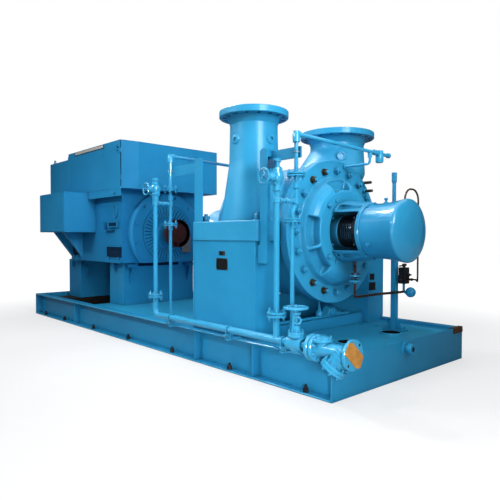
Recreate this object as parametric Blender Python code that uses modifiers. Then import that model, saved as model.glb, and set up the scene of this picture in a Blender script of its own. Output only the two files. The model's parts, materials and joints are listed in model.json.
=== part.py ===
# Between-bearings process pump with its electric motor, on one steel skid.
#
# Frame: metres, +Z up. The origin is on the floor, midway along and across the skid.
# +X runs along the shaft from the motor to the pump's outboard bearing.
# -Y is the front, the long side that carries the cooling water pipes.

import math

import bmesh
import bpy
from mathutils import Matrix, Vector

# Driving dimensions of the skid
SKID_LENGTH = 5.60
SKID_WIDTH = 1.96
SKID_HEIGHT = 0.30
PLATE = 0.012
BEAM_FLANGE = 0.095
BEAM_FLANGE_T = 0.016
DECK_TOP = 0.265
DECK_END_X = -1.28
FIT = 0.0003

# Driving dimensions of the shaft line
SHAFT_Z = 1.195
PUMP_X = 1.60
SHAFT_R = 0.060
BEARING_GAP = 0.0008
RUNNING_GAP = 0.006

# Pump casing, covers and nozzles
BARREL_R = 0.615
BARREL_HALF = 0.375
COVER_R = 0.655
COVER_T = 0.085
COVER_BOSS_X = 0.590
COVER_WELL_X = 0.485
FOOT_Z0 = 1.110
FOOT_Z1 = 1.283
FOOT_Y1 = 0.935
FOOT_X0 = 1.13
FOOT_X1 = 2.00
NECK_Z0 = 1.80
DISCHARGE_TOP = 2.270
DISCHARGE_Y = -0.60
DISCHARGE_R = 0.215
DISCHARGE_FLANGE_R = 0.312
DISCHARGE_BORE_R = 0.170
SUCTION_TOP = 2.240
SUCTION_Y = 0.605
SUCTION_R = 0.280
SUCTION_FLANGE_R = 0.385
SUCTION_BORE_R = 0.225
THROAT_Y = 0.485
THROAT_R = 0.365
FLANGE_T = 0.064

# Bearing housings and seals, measured from the casing's middle
BRACKET_R = 0.250
BRACKET_BORE_R = 0.205
BRACKET_X1 = 0.860
WINDOW_HALF = 0.165
HOUSING_R = 0.232
HOUSING_X1 = 1.120
CAP_R = 0.262
CAP_X1 = 1.235
DOME_X1 = 1.250

# Pump pedestals
PEDESTAL_Y0 = 0.665
PEDESTAL_Y1 = 0.925
PEDESTAL_X0 = 1.13
PEDESTAL_X1 = 1.965

# Motor
MOTOR_X0 = -2.32
MOTOR_X1 = -0.80
MOTOR_HALF_Y = 0.625
MOTOR_Z0 = 0.815
SHIELD_R = 0.550
SHIELD_X1 = -0.72
MOTOR_FOOT_HALF_Y = 0.544
HOOD_X0 = -2.15
HOOD_X1 = -0.60
HOOD_HALF_Y = 0.735
HOOD_Z0 = 1.743
HOOD_Z1 = 2.325
HOOD_LOW_X0 = -2.83
HOOD_LOW_Z1 = 2.25
HUB_R = 0.180

# Cooling water pipes along the front edge
HEADER_Y = -1.06
HEADER_Z = 0.385
HEADER_R = 0.029
RISER_R = 0.021
BRANCH_R = 0.016
PIPE_X = (0.683, 2.345)
BRANCH_Y = (-0.885, -0.890)
BRANCH_TOP_Y = (-0.885, -0.850)
LINE_Z = (1.950, 1.930)
WHEEL_Y = (-1.165, -1.195)
WHEEL_Z = (1.605, 1.580)
INLET_X = 2.54
STRAINER_X = 2.66

# Instrument stand at the outboard end
STAND_X = 2.373
STAND_Y = 0.492

ROUND = 36
SMALL_ROUND = 16
BIG_ROUND = 56

BLUE = (0.060, 0.300, 0.520)
LIGHT_BLUE = (0.090, 0.380, 0.610)
BLACK_STEEL = (0.020, 0.022, 0.026)
BARE_STEEL = (0.350, 0.360, 0.380)
RED = (0.190, 0.016, 0.012)
ORANGE = (0.720, 0.330, 0.060)


for old in list(bpy.data.objects):
    bpy.data.objects.remove(old, do_unlink=True)

parts = bpy.data.collections.new("between_bearings_pump")
bpy.context.scene.collection.children.link(parts)


def finish_material(name, color, roughness, metallic):
    material = bpy.data.materials.new(name)
    material.use_nodes = True
    shader = material.node_tree.nodes["Principled BSDF"]
    shader.inputs["Base Color"].default_value = (*color, 1.0)
    shader.inputs["Roughness"].default_value = roughness
    shader.inputs["Metallic"].default_value = metallic
    return material


def node(name, mesh, color=BLUE, roughness=0.35, metallic=0.0, smooth=True):
    """Puts one finished mesh in the part's collection under its own name and material."""
    if smooth:
        mesh.shade_smooth()
        mesh.set_sharp_from_angle(angle=math.radians(32))
    obj = bpy.data.objects.new(name, mesh)
    obj.data.materials.clear()
    obj.data.materials.append(finish_material(name, color, roughness, metallic))
    parts.objects.link(obj)
    return obj


def to_mesh(bm, name="shape"):
    bmesh.ops.recalc_face_normals(bm, faces=bm.faces)
    mesh = bpy.data.meshes.new(name)
    bm.to_mesh(mesh)
    bm.free()
    return mesh


def box(x, y, z):
    """A block between the two values of each axis."""
    size = Vector((x[1] - x[0], y[1] - y[0], z[1] - z[0]))
    middle = Vector(((x[0] + x[1]) / 2, (y[0] + y[1]) / 2, (z[0] + z[1]) / 2))
    bm = bmesh.new()
    bmesh.ops.create_cube(bm, size=1.0, matrix=Matrix.Translation(middle) @ Matrix.Diagonal((*size, 1.0)))
    return to_mesh(bm)


def aim(axis):
    """Rotation that takes +Z to the given axis."""
    return Vector(axis).to_track_quat("Z", "Y").to_matrix().to_4x4()


def rod(start, end, radius, radius_end=None, sides=SMALL_ROUND):
    """A round bar or cone between two points."""
    start, end = Vector(start), Vector(end)
    turn = aim(end - start)
    bm = bmesh.new()
    bmesh.ops.create_cone(bm, cap_ends=True, segments=sides, radius1=radius,
                          radius2=radius if radius_end is None else radius_end, depth=(end - start).length,
                          matrix=Matrix.Translation((start + end) / 2) @ turn)
    return to_mesh(bm)


def evaluated(obj):
    """The mesh of an object with its modifiers, in world space; the object is removed."""
    graph = bpy.context.evaluated_depsgraph_get()
    mesh = bpy.data.meshes.new_from_object(obj.evaluated_get(graph))
    mesh.transform(obj.matrix_world)
    bpy.data.objects.remove(obj, do_unlink=True)
    bm = bmesh.new()
    bm.from_mesh(mesh)
    bmesh.ops.remove_doubles(bm, verts=bm.verts, dist=0.00002)
    return to_mesh(bm)


def turned(profile, origin, axis, sides=ROUND):
    """A closed profile of (radius, height) points turned about an axis through the origin."""
    mesh = bpy.data.meshes.new("profile")
    count = len(profile)
    closed = min(radius for radius, _ in profile) > 0
    edges = [(i, (i + 1) % count) for i in range(count if closed else count - 1)]
    mesh.from_pydata([(radius, 0, height) for radius, height in profile], edges, [])
    obj = bpy.data.objects.new("profile", mesh)
    bpy.context.scene.collection.objects.link(obj)
    screw = obj.modifiers.new("turn", "SCREW")
    screw.steps = sides
    screw.render_steps = sides
    screw.use_merge_vertices = True
    screw.merge_threshold = 0.0001
    obj.matrix_world = Matrix.Translation(origin) @ aim(axis)
    bpy.context.view_layer.update()
    return evaluated(obj)


def tube(points, radius, sides_level=2):
    """A pipe along a list of points."""
    curve = bpy.data.curves.new("pipe", "CURVE")
    curve.dimensions = "3D"
    curve.bevel_depth = radius
    curve.bevel_resolution = sides_level
    curve.use_fill_caps = True
    spline = curve.splines.new("POLY")
    spline.points.add(len(points) - 1)
    for point, place in zip(spline.points, points):
        point.co = (*place, 1.0)
    obj = bpy.data.objects.new("pipe", curve)
    bpy.context.scene.collection.objects.link(obj)
    bpy.context.view_layer.update()
    return evaluated(obj)


def bend(corners, radius, steps=5):
    """Points along straight runs with each corner rounded to the given radius."""
    corners = [Vector(corner) for corner in corners]
    points = [corners[0]]
    for before, corner, after in zip(corners, corners[1:], corners[2:]):
        into = (before - corner).normalized()
        out = (after - corner).normalized()
        half = into.angle(out) / 2
        reach = radius / math.tan(half)
        centre = corner + (into + out).normalized() * (radius / math.sin(half))
        first = (corner + into * reach - centre).normalized()
        last = (corner + out * reach - centre).normalized()
        points += [centre + radius * first.slerp(last, step / steps) for step in range(steps + 1)]
    points.append(corners[-1])
    return points


def outline(points, thickness, origin, axis_x, axis_y):
    """A flat plate from an outline in the plane of two axes, thick along their cross product."""
    curve = bpy.data.curves.new("outline", "CURVE")
    curve.dimensions = "2D"
    curve.fill_mode = "BOTH"
    curve.extrude = thickness / 2
    spline = curve.splines.new("POLY")
    spline.points.add(len(points) - 1)
    for point, (across, up) in zip(spline.points, points):
        point.co = (across, up, 0.0, 1.0)
    spline.use_cyclic_u = True
    obj = bpy.data.objects.new("outline", curve)
    bpy.context.scene.collection.objects.link(obj)
    side, rise = Vector(axis_x), Vector(axis_y)
    turn = Matrix((side, rise, side.cross(rise))).transposed().to_4x4()
    obj.matrix_world = Matrix.Translation(origin) @ turn
    bpy.context.view_layer.update()
    return evaluated(obj)


def combine(base, others, operation="UNION"):
    """Adds or cuts a list of meshes to or from a base mesh, one exact Boolean at a time."""
    result = base
    for other in others:
        body = bpy.data.objects.new("body", result)
        tool = bpy.data.objects.new("tool", other)
        bpy.context.scene.collection.objects.link(body)
        bpy.context.scene.collection.objects.link(tool)
        boolean = body.modifiers.new("join", "BOOLEAN")
        boolean.object = tool
        boolean.operation = operation
        boolean.solver = "EXACT"
        bpy.context.view_layer.update()
        result = evaluated(body)
        bpy.data.objects.remove(tool, do_unlink=True)
    return result


def cut(base, others):
    return combine(base, others, "DIFFERENCE")


def flipped(mesh, about_x=None, about_y=None):
    """A mirror copy of a mesh about a plane of constant X or Y."""
    copy = mesh.copy()
    if about_x is not None:
        copy.transform(Matrix.Translation((2 * about_x, 0, 0)) @ Matrix.Diagonal((-1, 1, 1, 1)))
    if about_y is not None:
        copy.transform(Matrix.Translation((0, 2 * about_y, 0)) @ Matrix.Diagonal((1, -1, 1, 1)))
    bm = bmesh.new()
    bm.from_mesh(copy)
    return to_mesh(bm)


# Skid: two outward-facing channels, end plates, a drip deck and cross members
def skid_side():
    """The front channel, its flanges pointing outwards, with welded web stiffeners."""
    y_out = -SKID_WIDTH / 2
    y_in = y_out + BEAM_FLANGE
    half = SKID_LENGTH / 2 - PLATE - FIT
    section = [(y_out, 0), (y_in, 0), (y_in, SKID_HEIGHT), (y_out, SKID_HEIGHT),
               (y_out, SKID_HEIGHT - BEAM_FLANGE_T), (y_in - PLATE, SKID_HEIGHT - BEAM_FLANGE_T),
               (y_in - PLATE, BEAM_FLANGE_T), (y_out, BEAM_FLANGE_T)]
    beam = outline(section, 2 * half, (0, 0, 0), (0, 1, 0), (0, 0, 1))
    ribs = [box((x - PLATE / 2, x + PLATE / 2), (y_out + 0.012, y_in - 0.004), (0.008, SKID_HEIGHT - 0.008))
            for x in (-1.45, 1.20, 1.98)]
    return combine(beam, ribs)


def skid():
    side = skid_side()
    node("skid_channel_rear", flipped(side, about_y=0.0))
    node("skid_channel_front", side)
    end_x = SKID_LENGTH / 2
    end_half = SKID_WIDTH / 2
    stub = rod((end_x - 0.006, -0.03, 0.243), (end_x + 0.065, -0.03, 0.243), 0.034)
    near = combine(box((end_x - PLATE, end_x), (-end_half, end_half), (0, SKID_HEIGHT)), [stub])
    node("skid_end_plate_pump", near)
    node("skid_end_plate_motor", box((-end_x, -end_x + PLATE), (-end_half, end_half), (0, SKID_HEIGHT)))


def deck():
    inner = SKID_WIDTH / 2 - BEAM_FLANGE - FIT
    plate = box((DECK_END_X, SKID_LENGTH / 2 - PLATE - FIT), (-inner, inner), (DECK_TOP - 0.010, DECK_TOP))
    holes = [(2.43, 0.345), (2.43, -0.30)]
    rims = [rod((x, y, DECK_TOP - 0.005), (x, y, DECK_TOP + 0.012), 0.096, sides=32) for x, y in holes]
    bores = [rod((x, y, DECK_TOP - 0.05), (x, y, DECK_TOP + 0.05), 0.085, sides=32) for x, y in holes]
    node("deck_plate", cut(combine(plate, rims), bores))
    for index, (x, half) in enumerate(((-2.395, 0.195), (-1.095, 0.170), (0.0, 0.070), (1.50, 0.070))):
        node(f"cross_member_{index + 1}",
             box((x - half, x + half), (-inner, inner), (0.0, DECK_TOP - 0.010 - FIT)))


# Pump pedestals, with a dished web plate and a low tie beam between them
def pump_pedestals():
    x = (PEDESTAL_X0, PEDESTAL_X1)
    inside_beam = SKID_WIDTH / 2 - BEAM_FLANGE - FIT
    upper = box(x, (-PEDESTAL_Y1, -PEDESTAL_Y0), (SKID_HEIGHT + FIT, FOOT_Z0 - FIT))
    foot = box(x, (-inside_beam, -PEDESTAL_Y0), (DECK_TOP + FIT, SKID_HEIGHT + 0.02))
    front = combine(upper, [foot])
    node("pump_pedestal_front", front)
    node("pump_pedestal_rear", flipped(front, about_y=0.0))
    inner = PEDESTAL_Y0 - FIT
    node("tie_beam", box((1.840, 1.900), (-inner, inner), (DECK_TOP + FIT, 0.370)))
    dish = [math.radians(15 + 10 * step) for step in range(16)]
    under_barrel = [(0.640 * math.cos(turn), SHAFT_Z - 0.640 * math.sin(turn)) for turn in dish]
    web = [(-inner, DECK_TOP + FIT), (inner, DECK_TOP + FIT), (inner, under_barrel[0][1])]
    web += under_barrel + [(-inner, under_barrel[-1][1])]
    node("pedestal_web", outline(web, 0.020, (1.30, 0, 0), (0, 1, 0), (0, 0, 1)))


# Pump casing: barrel, feet and the stumps of the two top nozzles in one casting
def leaning_cone(low, high, radius_low, radius_high):
    """A round neck whose level circles shift sideways between two heights."""
    bm = bmesh.new()
    bmesh.ops.create_cone(bm, cap_ends=True, segments=ROUND, radius1=radius_low, radius2=radius_high,
                          depth=1.0)
    low, high = Vector(low), Vector(high)
    for vertex in bm.verts:
        middle = low if vertex.co.z < 0 else high
        vertex.co = Vector((middle.x + vertex.co.x, middle.y + vertex.co.y, middle.z))
    return to_mesh(bm)


def neck(y, top, radius, flange_r, bore_r, low):
    """A slightly waisted neck with its bored flange, from a given height up."""
    under = top - FLANGE_T
    profile = [(bore_r, top), (flange_r, top), (flange_r, under), (radius + 0.035, under),
               (radius, under - 0.055), (radius - 0.004, NECK_Z0 + 0.15), (radius + 0.006, low),
               (bore_r, low)]
    return turned(profile, (PUMP_X, y, 0), (0, 0, 1))


def nozzles():
    low = NECK_Z0 + FIT
    discharge = neck(DISCHARGE_Y, DISCHARGE_TOP, DISCHARGE_R, DISCHARGE_FLANGE_R, DISCHARGE_BORE_R,
                     low)
    node("discharge_nozzle", discharge, LIGHT_BLUE)
    suction = neck(SUCTION_Y, SUCTION_TOP, SUCTION_R, SUCTION_FLANGE_R, SUCTION_BORE_R, low + 0.10)
    flare = leaning_cone((PUMP_X, THROAT_Y, low), (PUMP_X, SUCTION_Y, 2.06), THROAT_R,
                         SUCTION_R - 0.002)
    bore = rod((PUMP_X, SUCTION_Y, low - 0.1), (PUMP_X, SUCTION_Y, 2.10), SUCTION_BORE_R - 0.001,
               sides=ROUND)
    node("suction_nozzle", combine(suction, [cut(flare, [bore])]), LIGHT_BLUE)


def casing():
    barrel_x = (PUMP_X - BARREL_HALF, PUMP_X + BARREL_HALF)
    barrel = rod((barrel_x[0], 0, SHAFT_Z), (barrel_x[1], 0, SHAFT_Z), BARREL_R, sides=BIG_ROUND)
    clear_y = COVER_R + 0.012
    outer = box((FOOT_X0, FOOT_X1), (-FOOT_Y1, -clear_y), (FOOT_Z0, FOOT_Z1))
    inner = box(barrel_x, (-clear_y - 0.01, -0.45), (FOOT_Z0, FOOT_Z1))
    feet = [outer, inner, flipped(outer, about_y=0.0), flipped(inner, about_y=0.0)]
    flare = leaning_cone((PUMP_X, DISCHARGE_Y + 0.02, SHAFT_Z + 0.03), (PUMP_X, DISCHARGE_Y, NECK_Z0),
                         DISCHARGE_R + 0.105, DISCHARGE_R + 0.006)
    throat = leaning_cone((PUMP_X, 0.26, SHAFT_Z + 0.25), (PUMP_X, THROAT_Y, NECK_Z0), THROAT_R, THROAT_R)
    body = combine(barrel, feet + [flare, throat])
    outlet = rod((PUMP_X, DISCHARGE_Y, SHAFT_Z + 0.35), (PUMP_X, DISCHARGE_Y, NECK_Z0 + 0.1),
                 DISCHARGE_BORE_R, sides=ROUND)
    hole = rod((barrel_x[0] - 0.1, 0, SHAFT_Z), (barrel_x[1] + 0.1, 0, SHAFT_Z), SHAFT_R + RUNNING_GAP)
    node("pump_casing", cut(body, [outlet, hole]), LIGHT_BLUE)


def pocket(angle, half_width):
    """A cutter for one pocket in the sloping shoulder of the cover's boss."""
    sweep = [math.radians(angle + step * half_width / 3) for step in range(-3, 4)]
    ring = [(0.462 * math.cos(turn), 0.462 * math.sin(turn)) for turn in sweep]
    ring += [(0.375 * math.cos(turn), 0.375 * math.sin(turn)) for turn in reversed(sweep)]
    return outline(ring, 0.20, (PUMP_X + 0.605, 0, SHAFT_Z), (0, -1, 0), (0, 0, 1))


def cover_mesh():
    """The outboard cover: bolting ring, rounded boss with five pockets, and the seal chamber in a well."""
    x0 = BARREL_HALF + FIT
    bore = SHAFT_R + RUNNING_GAP
    profile = [(bore, COVER_BOSS_X), (0.150, COVER_BOSS_X), (0.150, COVER_WELL_X), (0.238, COVER_WELL_X),
               (0.238, COVER_BOSS_X), (0.365, COVER_BOSS_X), (0.402, COVER_BOSS_X - 0.009),
               (0.438, COVER_BOSS_X - 0.033), (0.466, COVER_BOSS_X - 0.068), (0.484, x0 + COVER_T + 0.022),
               (0.498, x0 + COVER_T), (COVER_R, x0 + COVER_T), (COVER_R, x0), (bore, x0)]
    disc = turned(profile, (PUMP_X, 0, SHAFT_Z), (1, 0, 0), sides=BIG_ROUND)
    return cut(disc, [pocket(angle, 17) for angle in (-38, 0, 82, 180, 218)])


def bracket_mesh():
    """The two arms between cover and bearing housing, joined by a ring at the housing's end."""
    x0 = COVER_BOSS_X + FIT
    profile = [(BRACKET_BORE_R, BRACKET_X1), (BRACKET_R, BRACKET_X1), (BRACKET_R + 0.028, x0),
               (BRACKET_BORE_R, x0)]
    ring = turned(profile, (PUMP_X, 0, SHAFT_Z), (1, 0, 0))
    window = box((PUMP_X + x0 - 0.010, PUMP_X + BRACKET_X1 - 0.012), (-0.4, 0.4),
                 (SHAFT_Z - WINDOW_HALF, SHAFT_Z + WINDOW_HALF))
    return cut(ring, [window])


def housing_mesh():
    """Bearing housing that flares to its end cap and shallow dome; the shaft ends inside it."""
    x0 = BRACKET_X1 + FIT
    inner = SHAFT_R + BEARING_GAP
    profile = [(0, DOME_X1), (0.150, DOME_X1), (0.165, CAP_X1), (CAP_R - 0.012, CAP_X1),
               (CAP_R, CAP_X1 - 0.020), (CAP_R - 0.002, HOUSING_X1 + 0.020),
               (CAP_R - 0.012, HOUSING_X1 - 0.020), (HOUSING_R, HOUSING_X1 - 0.090), (HOUSING_R, x0),
               (inner, x0), (inner, HOUSING_X1 + 0.03),
               (0, HOUSING_X1 + 0.03)]
    return turned(profile, (PUMP_X, 0, SHAFT_Z), (1, 0, 0))


def gland_mesh():
    """Mechanical seal cartridge: a stepped drum with its gland ring near the outer end."""
    x0 = COVER_BOSS_X + FIT
    bore = SHAFT_R + RUNNING_GAP
    profile = [(bore, x0 + 0.245), (0.105, x0 + 0.245), (0.105, x0 + 0.215), (0.172, x0 + 0.215),
               (0.172, x0 + 0.165), (0.145, x0 + 0.165), (0.145, x0), (bore, x0)]
    return turned(profile, (PUMP_X, 0, SHAFT_Z), (1, 0, 0))


def drive_end_housing(mesh):
    """The drive-end housing is the mirrored outboard one with the shaft hole run through."""
    hole = rod((PUMP_X - DOME_X1 - 0.1, 0, SHAFT_Z), (PUMP_X - HOUSING_X1, 0, SHAFT_Z), SHAFT_R + RUNNING_GAP)
    return cut(mesh, [hole])


def pump_ends():
    pieces = (("cover", cover_mesh(), LIGHT_BLUE), ("bearing_bracket", bracket_mesh(), LIGHT_BLUE),
              ("bearing_housing", housing_mesh(), LIGHT_BLUE), ("seal_cartridge", gland_mesh(), BLACK_STEEL))
    for name, mesh, color in pieces:
        drive = flipped(mesh, about_x=PUMP_X)
        if name == "bearing_housing":
            drive = drive_end_housing(drive)
        node(f"{name}_drive", drive, color)
        node(f"{name}_outboard", mesh, color)


# Rotors: the pump shaft with its coupling half, and the motor shaft with its coupling half
def rotors():
    pump_far = PUMP_X - DOME_X1 - 0.19
    shaft = rod((pump_far, 0, SHAFT_Z), (PUMP_X + HOUSING_X1 + 0.02, 0, SHAFT_Z), SHAFT_R, sides=ROUND)
    hub = rod((pump_far, 0, SHAFT_Z), (pump_far + 0.06, 0, SHAFT_Z), HUB_R, sides=ROUND)
    sleeve = rod((pump_far + 0.03, 0, SHAFT_Z), (pump_far + 0.15, 0, SHAFT_Z), 0.095, sides=ROUND)
    node("pump_rotor", combine(shaft, [hub, sleeve]), BARE_STEEL, 0.3, 1.0)
    shaft = rod((MOTOR_X1 - 0.20, 0, SHAFT_Z), (-0.46, 0, SHAFT_Z), SHAFT_R, sides=ROUND)
    hub = rod((-0.53, 0, SHAFT_Z), (-0.47, 0, SHAFT_Z), HUB_R, sides=ROUND)
    sleeve = rod((-0.66, 0, SHAFT_Z), (-0.50, 0, SHAFT_Z), 0.095, sides=ROUND)
    node("motor_rotor", combine(shaft, [hub, sleeve]), RED, 0.45, 0.2)


# Motor on its two transverse pedestals
def end_shield(face_x, seat_x, side):
    """The round drum at one end of the motor, flat along the bottom at foot level."""
    lip = 0.02 * side
    bore = SHAFT_R + RUNNING_GAP if side > 0 else 0
    profile = [(bore, face_x + lip), (0.150, face_x + lip), (0.160, face_x - lip / 2),
               (0.370, face_x - lip / 2), (0.390, face_x), (SHIELD_R - 0.030, face_x),
               (SHIELD_R, face_x - 0.025 * side), (SHIELD_R, seat_x), (bore, seat_x)]
    drum = turned(profile, (0, 0, SHAFT_Z), (1, 0, 0), sides=BIG_ROUND)
    middle = (face_x + seat_x) / 2
    clips = [box((middle - 0.4, middle + 0.4), (-0.7, 0.7), (HOOD_Z0 - FIT, 2.2)),
             box((middle - 0.4, middle + 0.4), (-0.7, 0.7), (0.3, MOTOR_Z0))]
    return cut(drum, clips)


def motor():
    top = MOTOR_Z0 - FIT
    half = MOTOR_FOOT_HALF_Y
    node("motor_pedestal_near", box((-1.27, -0.915), (-half, half), (DECK_TOP + FIT, top)))
    node("motor_pedestal_far", box((-2.585, -2.20), (-half, half), (DECK_TOP - 0.010, top)))
    frame = box((MOTOR_X0, MOTOR_X1), (-MOTOR_HALF_Y, MOTOR_HALF_Y), (MOTOR_Z0, HOOD_Z0 - FIT))
    bore = rod((MOTOR_X1 - 0.25, 0, SHAFT_Z), (MOTOR_X1 + 0.1, 0, SHAFT_Z), SHAFT_R + BEARING_GAP,
               sides=ROUND)
    far_drum = end_shield(MOTOR_X0 - 0.33, MOTOR_X0 + 0.02, -1)
    node("motor_frame", cut(combine(frame, [far_drum]), [bore]))
    node("motor_end_shield", end_shield(SHIELD_X1, MOTOR_X1 + FIT, 1))


def hood():
    high = [(HOOD_X0, -HOOD_HALF_Y), (HOOD_X1 - 0.03, -HOOD_HALF_Y), (HOOD_X1, -HOOD_HALF_Y + 0.24),
            (HOOD_X1, HOOD_HALF_Y), (HOOD_X0, HOOD_HALF_Y)]
    tall = HOOD_Z1 - HOOD_Z0
    upper = outline(high, tall, (0, 0, (HOOD_Z0 + HOOD_Z1) / 2), (1, 0, 0), (0, 1, 0))
    lower = box((HOOD_LOW_X0, HOOD_X0 + 0.05), (-HOOD_HALF_Y, HOOD_HALF_Y), (HOOD_Z0, HOOD_LOW_Z1))
    skirt_z = (HOOD_Z0 - 0.093, HOOD_Z0 + 0.010)
    skirt_front = box((-1.515, HOOD_X1 - 0.033), (-HOOD_HALF_Y, -HOOD_HALF_Y + 0.012), skirt_z)
    skirt_rear = box((HOOD_X0, -1.25), (HOOD_HALF_Y - 0.012, HOOD_HALF_Y), skirt_z)
    node("motor_hood", combine(upper, [lower, skirt_front, skirt_rear]))
    back = -MOTOR_HALF_Y - FIT
    terminals = box((-2.37, -1.53), (-1.06, back), (1.212, 1.735))
    gusset = [(back, 0.85), (back, 1.24), (-0.90, 1.24), (-0.90, 1.212)]
    brackets = [outline(gusset, 0.04, (x, 0, 0), (0, 1, 0), (0, 0, 1)) for x in (-2.28, -1.95)]
    node("terminal_box", combine(terminals, brackets))


# Cooling water pipes
def flange_pair(place, axis, radius, thickness=0.018):
    """Two bolted flanges as one stepped drum with a thin joint line."""
    outer = thickness + 0.002
    groove = radius - 0.012
    profile = [(0, outer), (radius, outer), (radius, 0.003), (groove, 0.003), (groove, -0.003),
               (radius, -0.003), (radius, -outer), (0, -outer)]
    return turned(profile, place, axis, sides=SMALL_ROUND)


def hand_wheel(name, place, axis, radius, hub_from, hub_to):
    """A rim with three arms; the hub runs between two distances from the rim's plane."""
    place, axis = Vector(place), Vector(axis)
    grip = radius * 0.13
    profile = [(radius - grip, grip), (radius, 0), (radius - grip, -grip), (radius - 2 * grip, 0)]
    rim = turned(profile, place, axis, 28)
    turn = aim(axis).to_3x3()
    arms = []
    for angle in (math.radians(90), math.radians(210), math.radians(330)):
        out = turn @ Vector((math.cos(angle), math.sin(angle), 0))
        arms.append(rod(place, place + out * (radius - grip), grip * 0.8, sides=8))
    hub = rod(place + axis * hub_from, place + axis * hub_to, radius * 0.22)
    node(name, combine(hub, arms + [rim]), LIGHT_BLUE)


def header():
    start = (PIPE_X[0], HEADER_Y, 0.56)
    corner = (PIPE_X[0], HEADER_Y, HEADER_Z)
    pipe = tube(bend([start, corner, (STRAINER_X, HEADER_Y, HEADER_Z)], 0.07), HEADER_R, 3)
    tee = tube([(PIPE_X[1], HEADER_Y, HEADER_Z), (PIPE_X[1], HEADER_Y, 0.56)], 0.026, 3)
    joints = [flange_pair((x, HEADER_Y, 0.572), (0, 0, 1), 0.072) for x in PIPE_X]
    bonnet = turned([(0, 0.625), (0.011, 0.625), (0.011, 0.520), (0.030, 0.515), (0.036, 0.475),
                     (0.036, 0.470), (0.046, 0.465), (0.046, 0.430), (0.034, 0.425), (0.034, HEADER_Z),
                     (0, HEADER_Z)],
                    (INLET_X, HEADER_Y, 0), (0, 0, 1), SMALL_ROUND)
    feet = []
    for x in (0.95, 1.80, 2.42):
        across = (x - 0.020, x + 0.020)
        feet.append(box(across, (-1.085, -0.935), (SKID_HEIGHT + FIT, SKID_HEIGHT + 0.010)))
        feet.append(box(across, (-1.068, -1.052), (SKID_HEIGHT + 0.005, HEADER_Z - 0.010)))
    node("water_header", combine(pipe, [tee, bonnet] + joints + feet), LIGHT_BLUE)


def riser(label, x, wheel_y, wheel_z):
    z0 = 0.572 + 0.0203
    pipe = tube([(x, HEADER_Y, z0), (x, HEADER_Y, 1.70)], RISER_R, 2)
    valve = turned([(0, 1.665), (0.040, 1.650), (0.046, 1.560), (0.030, 1.530), (0.030, 1.490), (0, 1.475)],
                   (x, HEADER_Y, 0), (0, 0, 1), SMALL_ROUND)
    bonnet = rod((x, HEADER_Y, wheel_z), (x, wheel_y + 0.030, wheel_z), 0.024)
    node(f"riser_{label}", combine(pipe, [valve, bonnet]), LIGHT_BLUE)
    hand_wheel(f"handwheel_{label}", (x, wheel_y, wheel_z), (0, -1, 0), 0.062, -0.0295, 0.015)


def branch(side, far_y, extra):
    """The thin pipe beside a riser: up from the skid, a bridge, then a run across the pump."""
    label = ("drive", "outboard")[side]
    x, y, high_y, top = PIPE_X[side], BRANCH_Y[side], BRANCH_TOP_Y[side], LINE_Z[side]
    upright = [(x, y, 0.60), (x, y, 1.33), (x, high_y, 1.40)] if high_y != y else [(x, y, 0.60)]
    run = tube(bend(upright + [(x, high_y, top), (x, far_y, top - 0.03)], 0.03), BRANCH_R, 2)
    places = ((x, high_y, 1.62), (x, y, 1.270))
    joints = [flange_pair(place, (0, 0, 1), 0.070, 0.013) for place in places]
    elbow = rod((x, high_y, top - 0.045), (x, high_y, top + 0.020), 0.024)
    bridge_z, gap = ((1.475, 0.011), (1.415, 0.001))[side]
    bridge = tube([(x, high_y, bridge_z), (x, HEADER_Y + RISER_R + gap, bridge_z)], 0.014, 2)
    node(f"branch_pipe_{label}", combine(run, joints + [elbow, bridge] + extra), LIGHT_BLUE)


def branches():
    x, y = PIPE_X[0], BRANCH_Y[0]
    foot_drive = tube([(x, y, SKID_HEIGHT + FIT), (x, y, 0.62)], 0.013, 2)
    branch(0, 0.30, [foot_drive])
    x, y, top = PIPE_X[1], BRANCH_Y[1], LINE_Z[1]
    foot = tube([(x, y, SKID_HEIGHT + FIT), (x, y, 0.62)], BRANCH_R - 0.001, 2)
    face = PUMP_X + BARREL_HALF + COVER_T + 3 * FIT
    drop = tube(bend([(x, 0.12, top - 0.02), (x, 0.12, 1.80), (face, 0.12, 1.80)], 0.03), 0.012, 2)
    valve = rod((x, 0.27, top - 0.090), (x, 0.27, top), 0.034)
    branch(1, 0.43, [foot, drop, valve])


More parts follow.
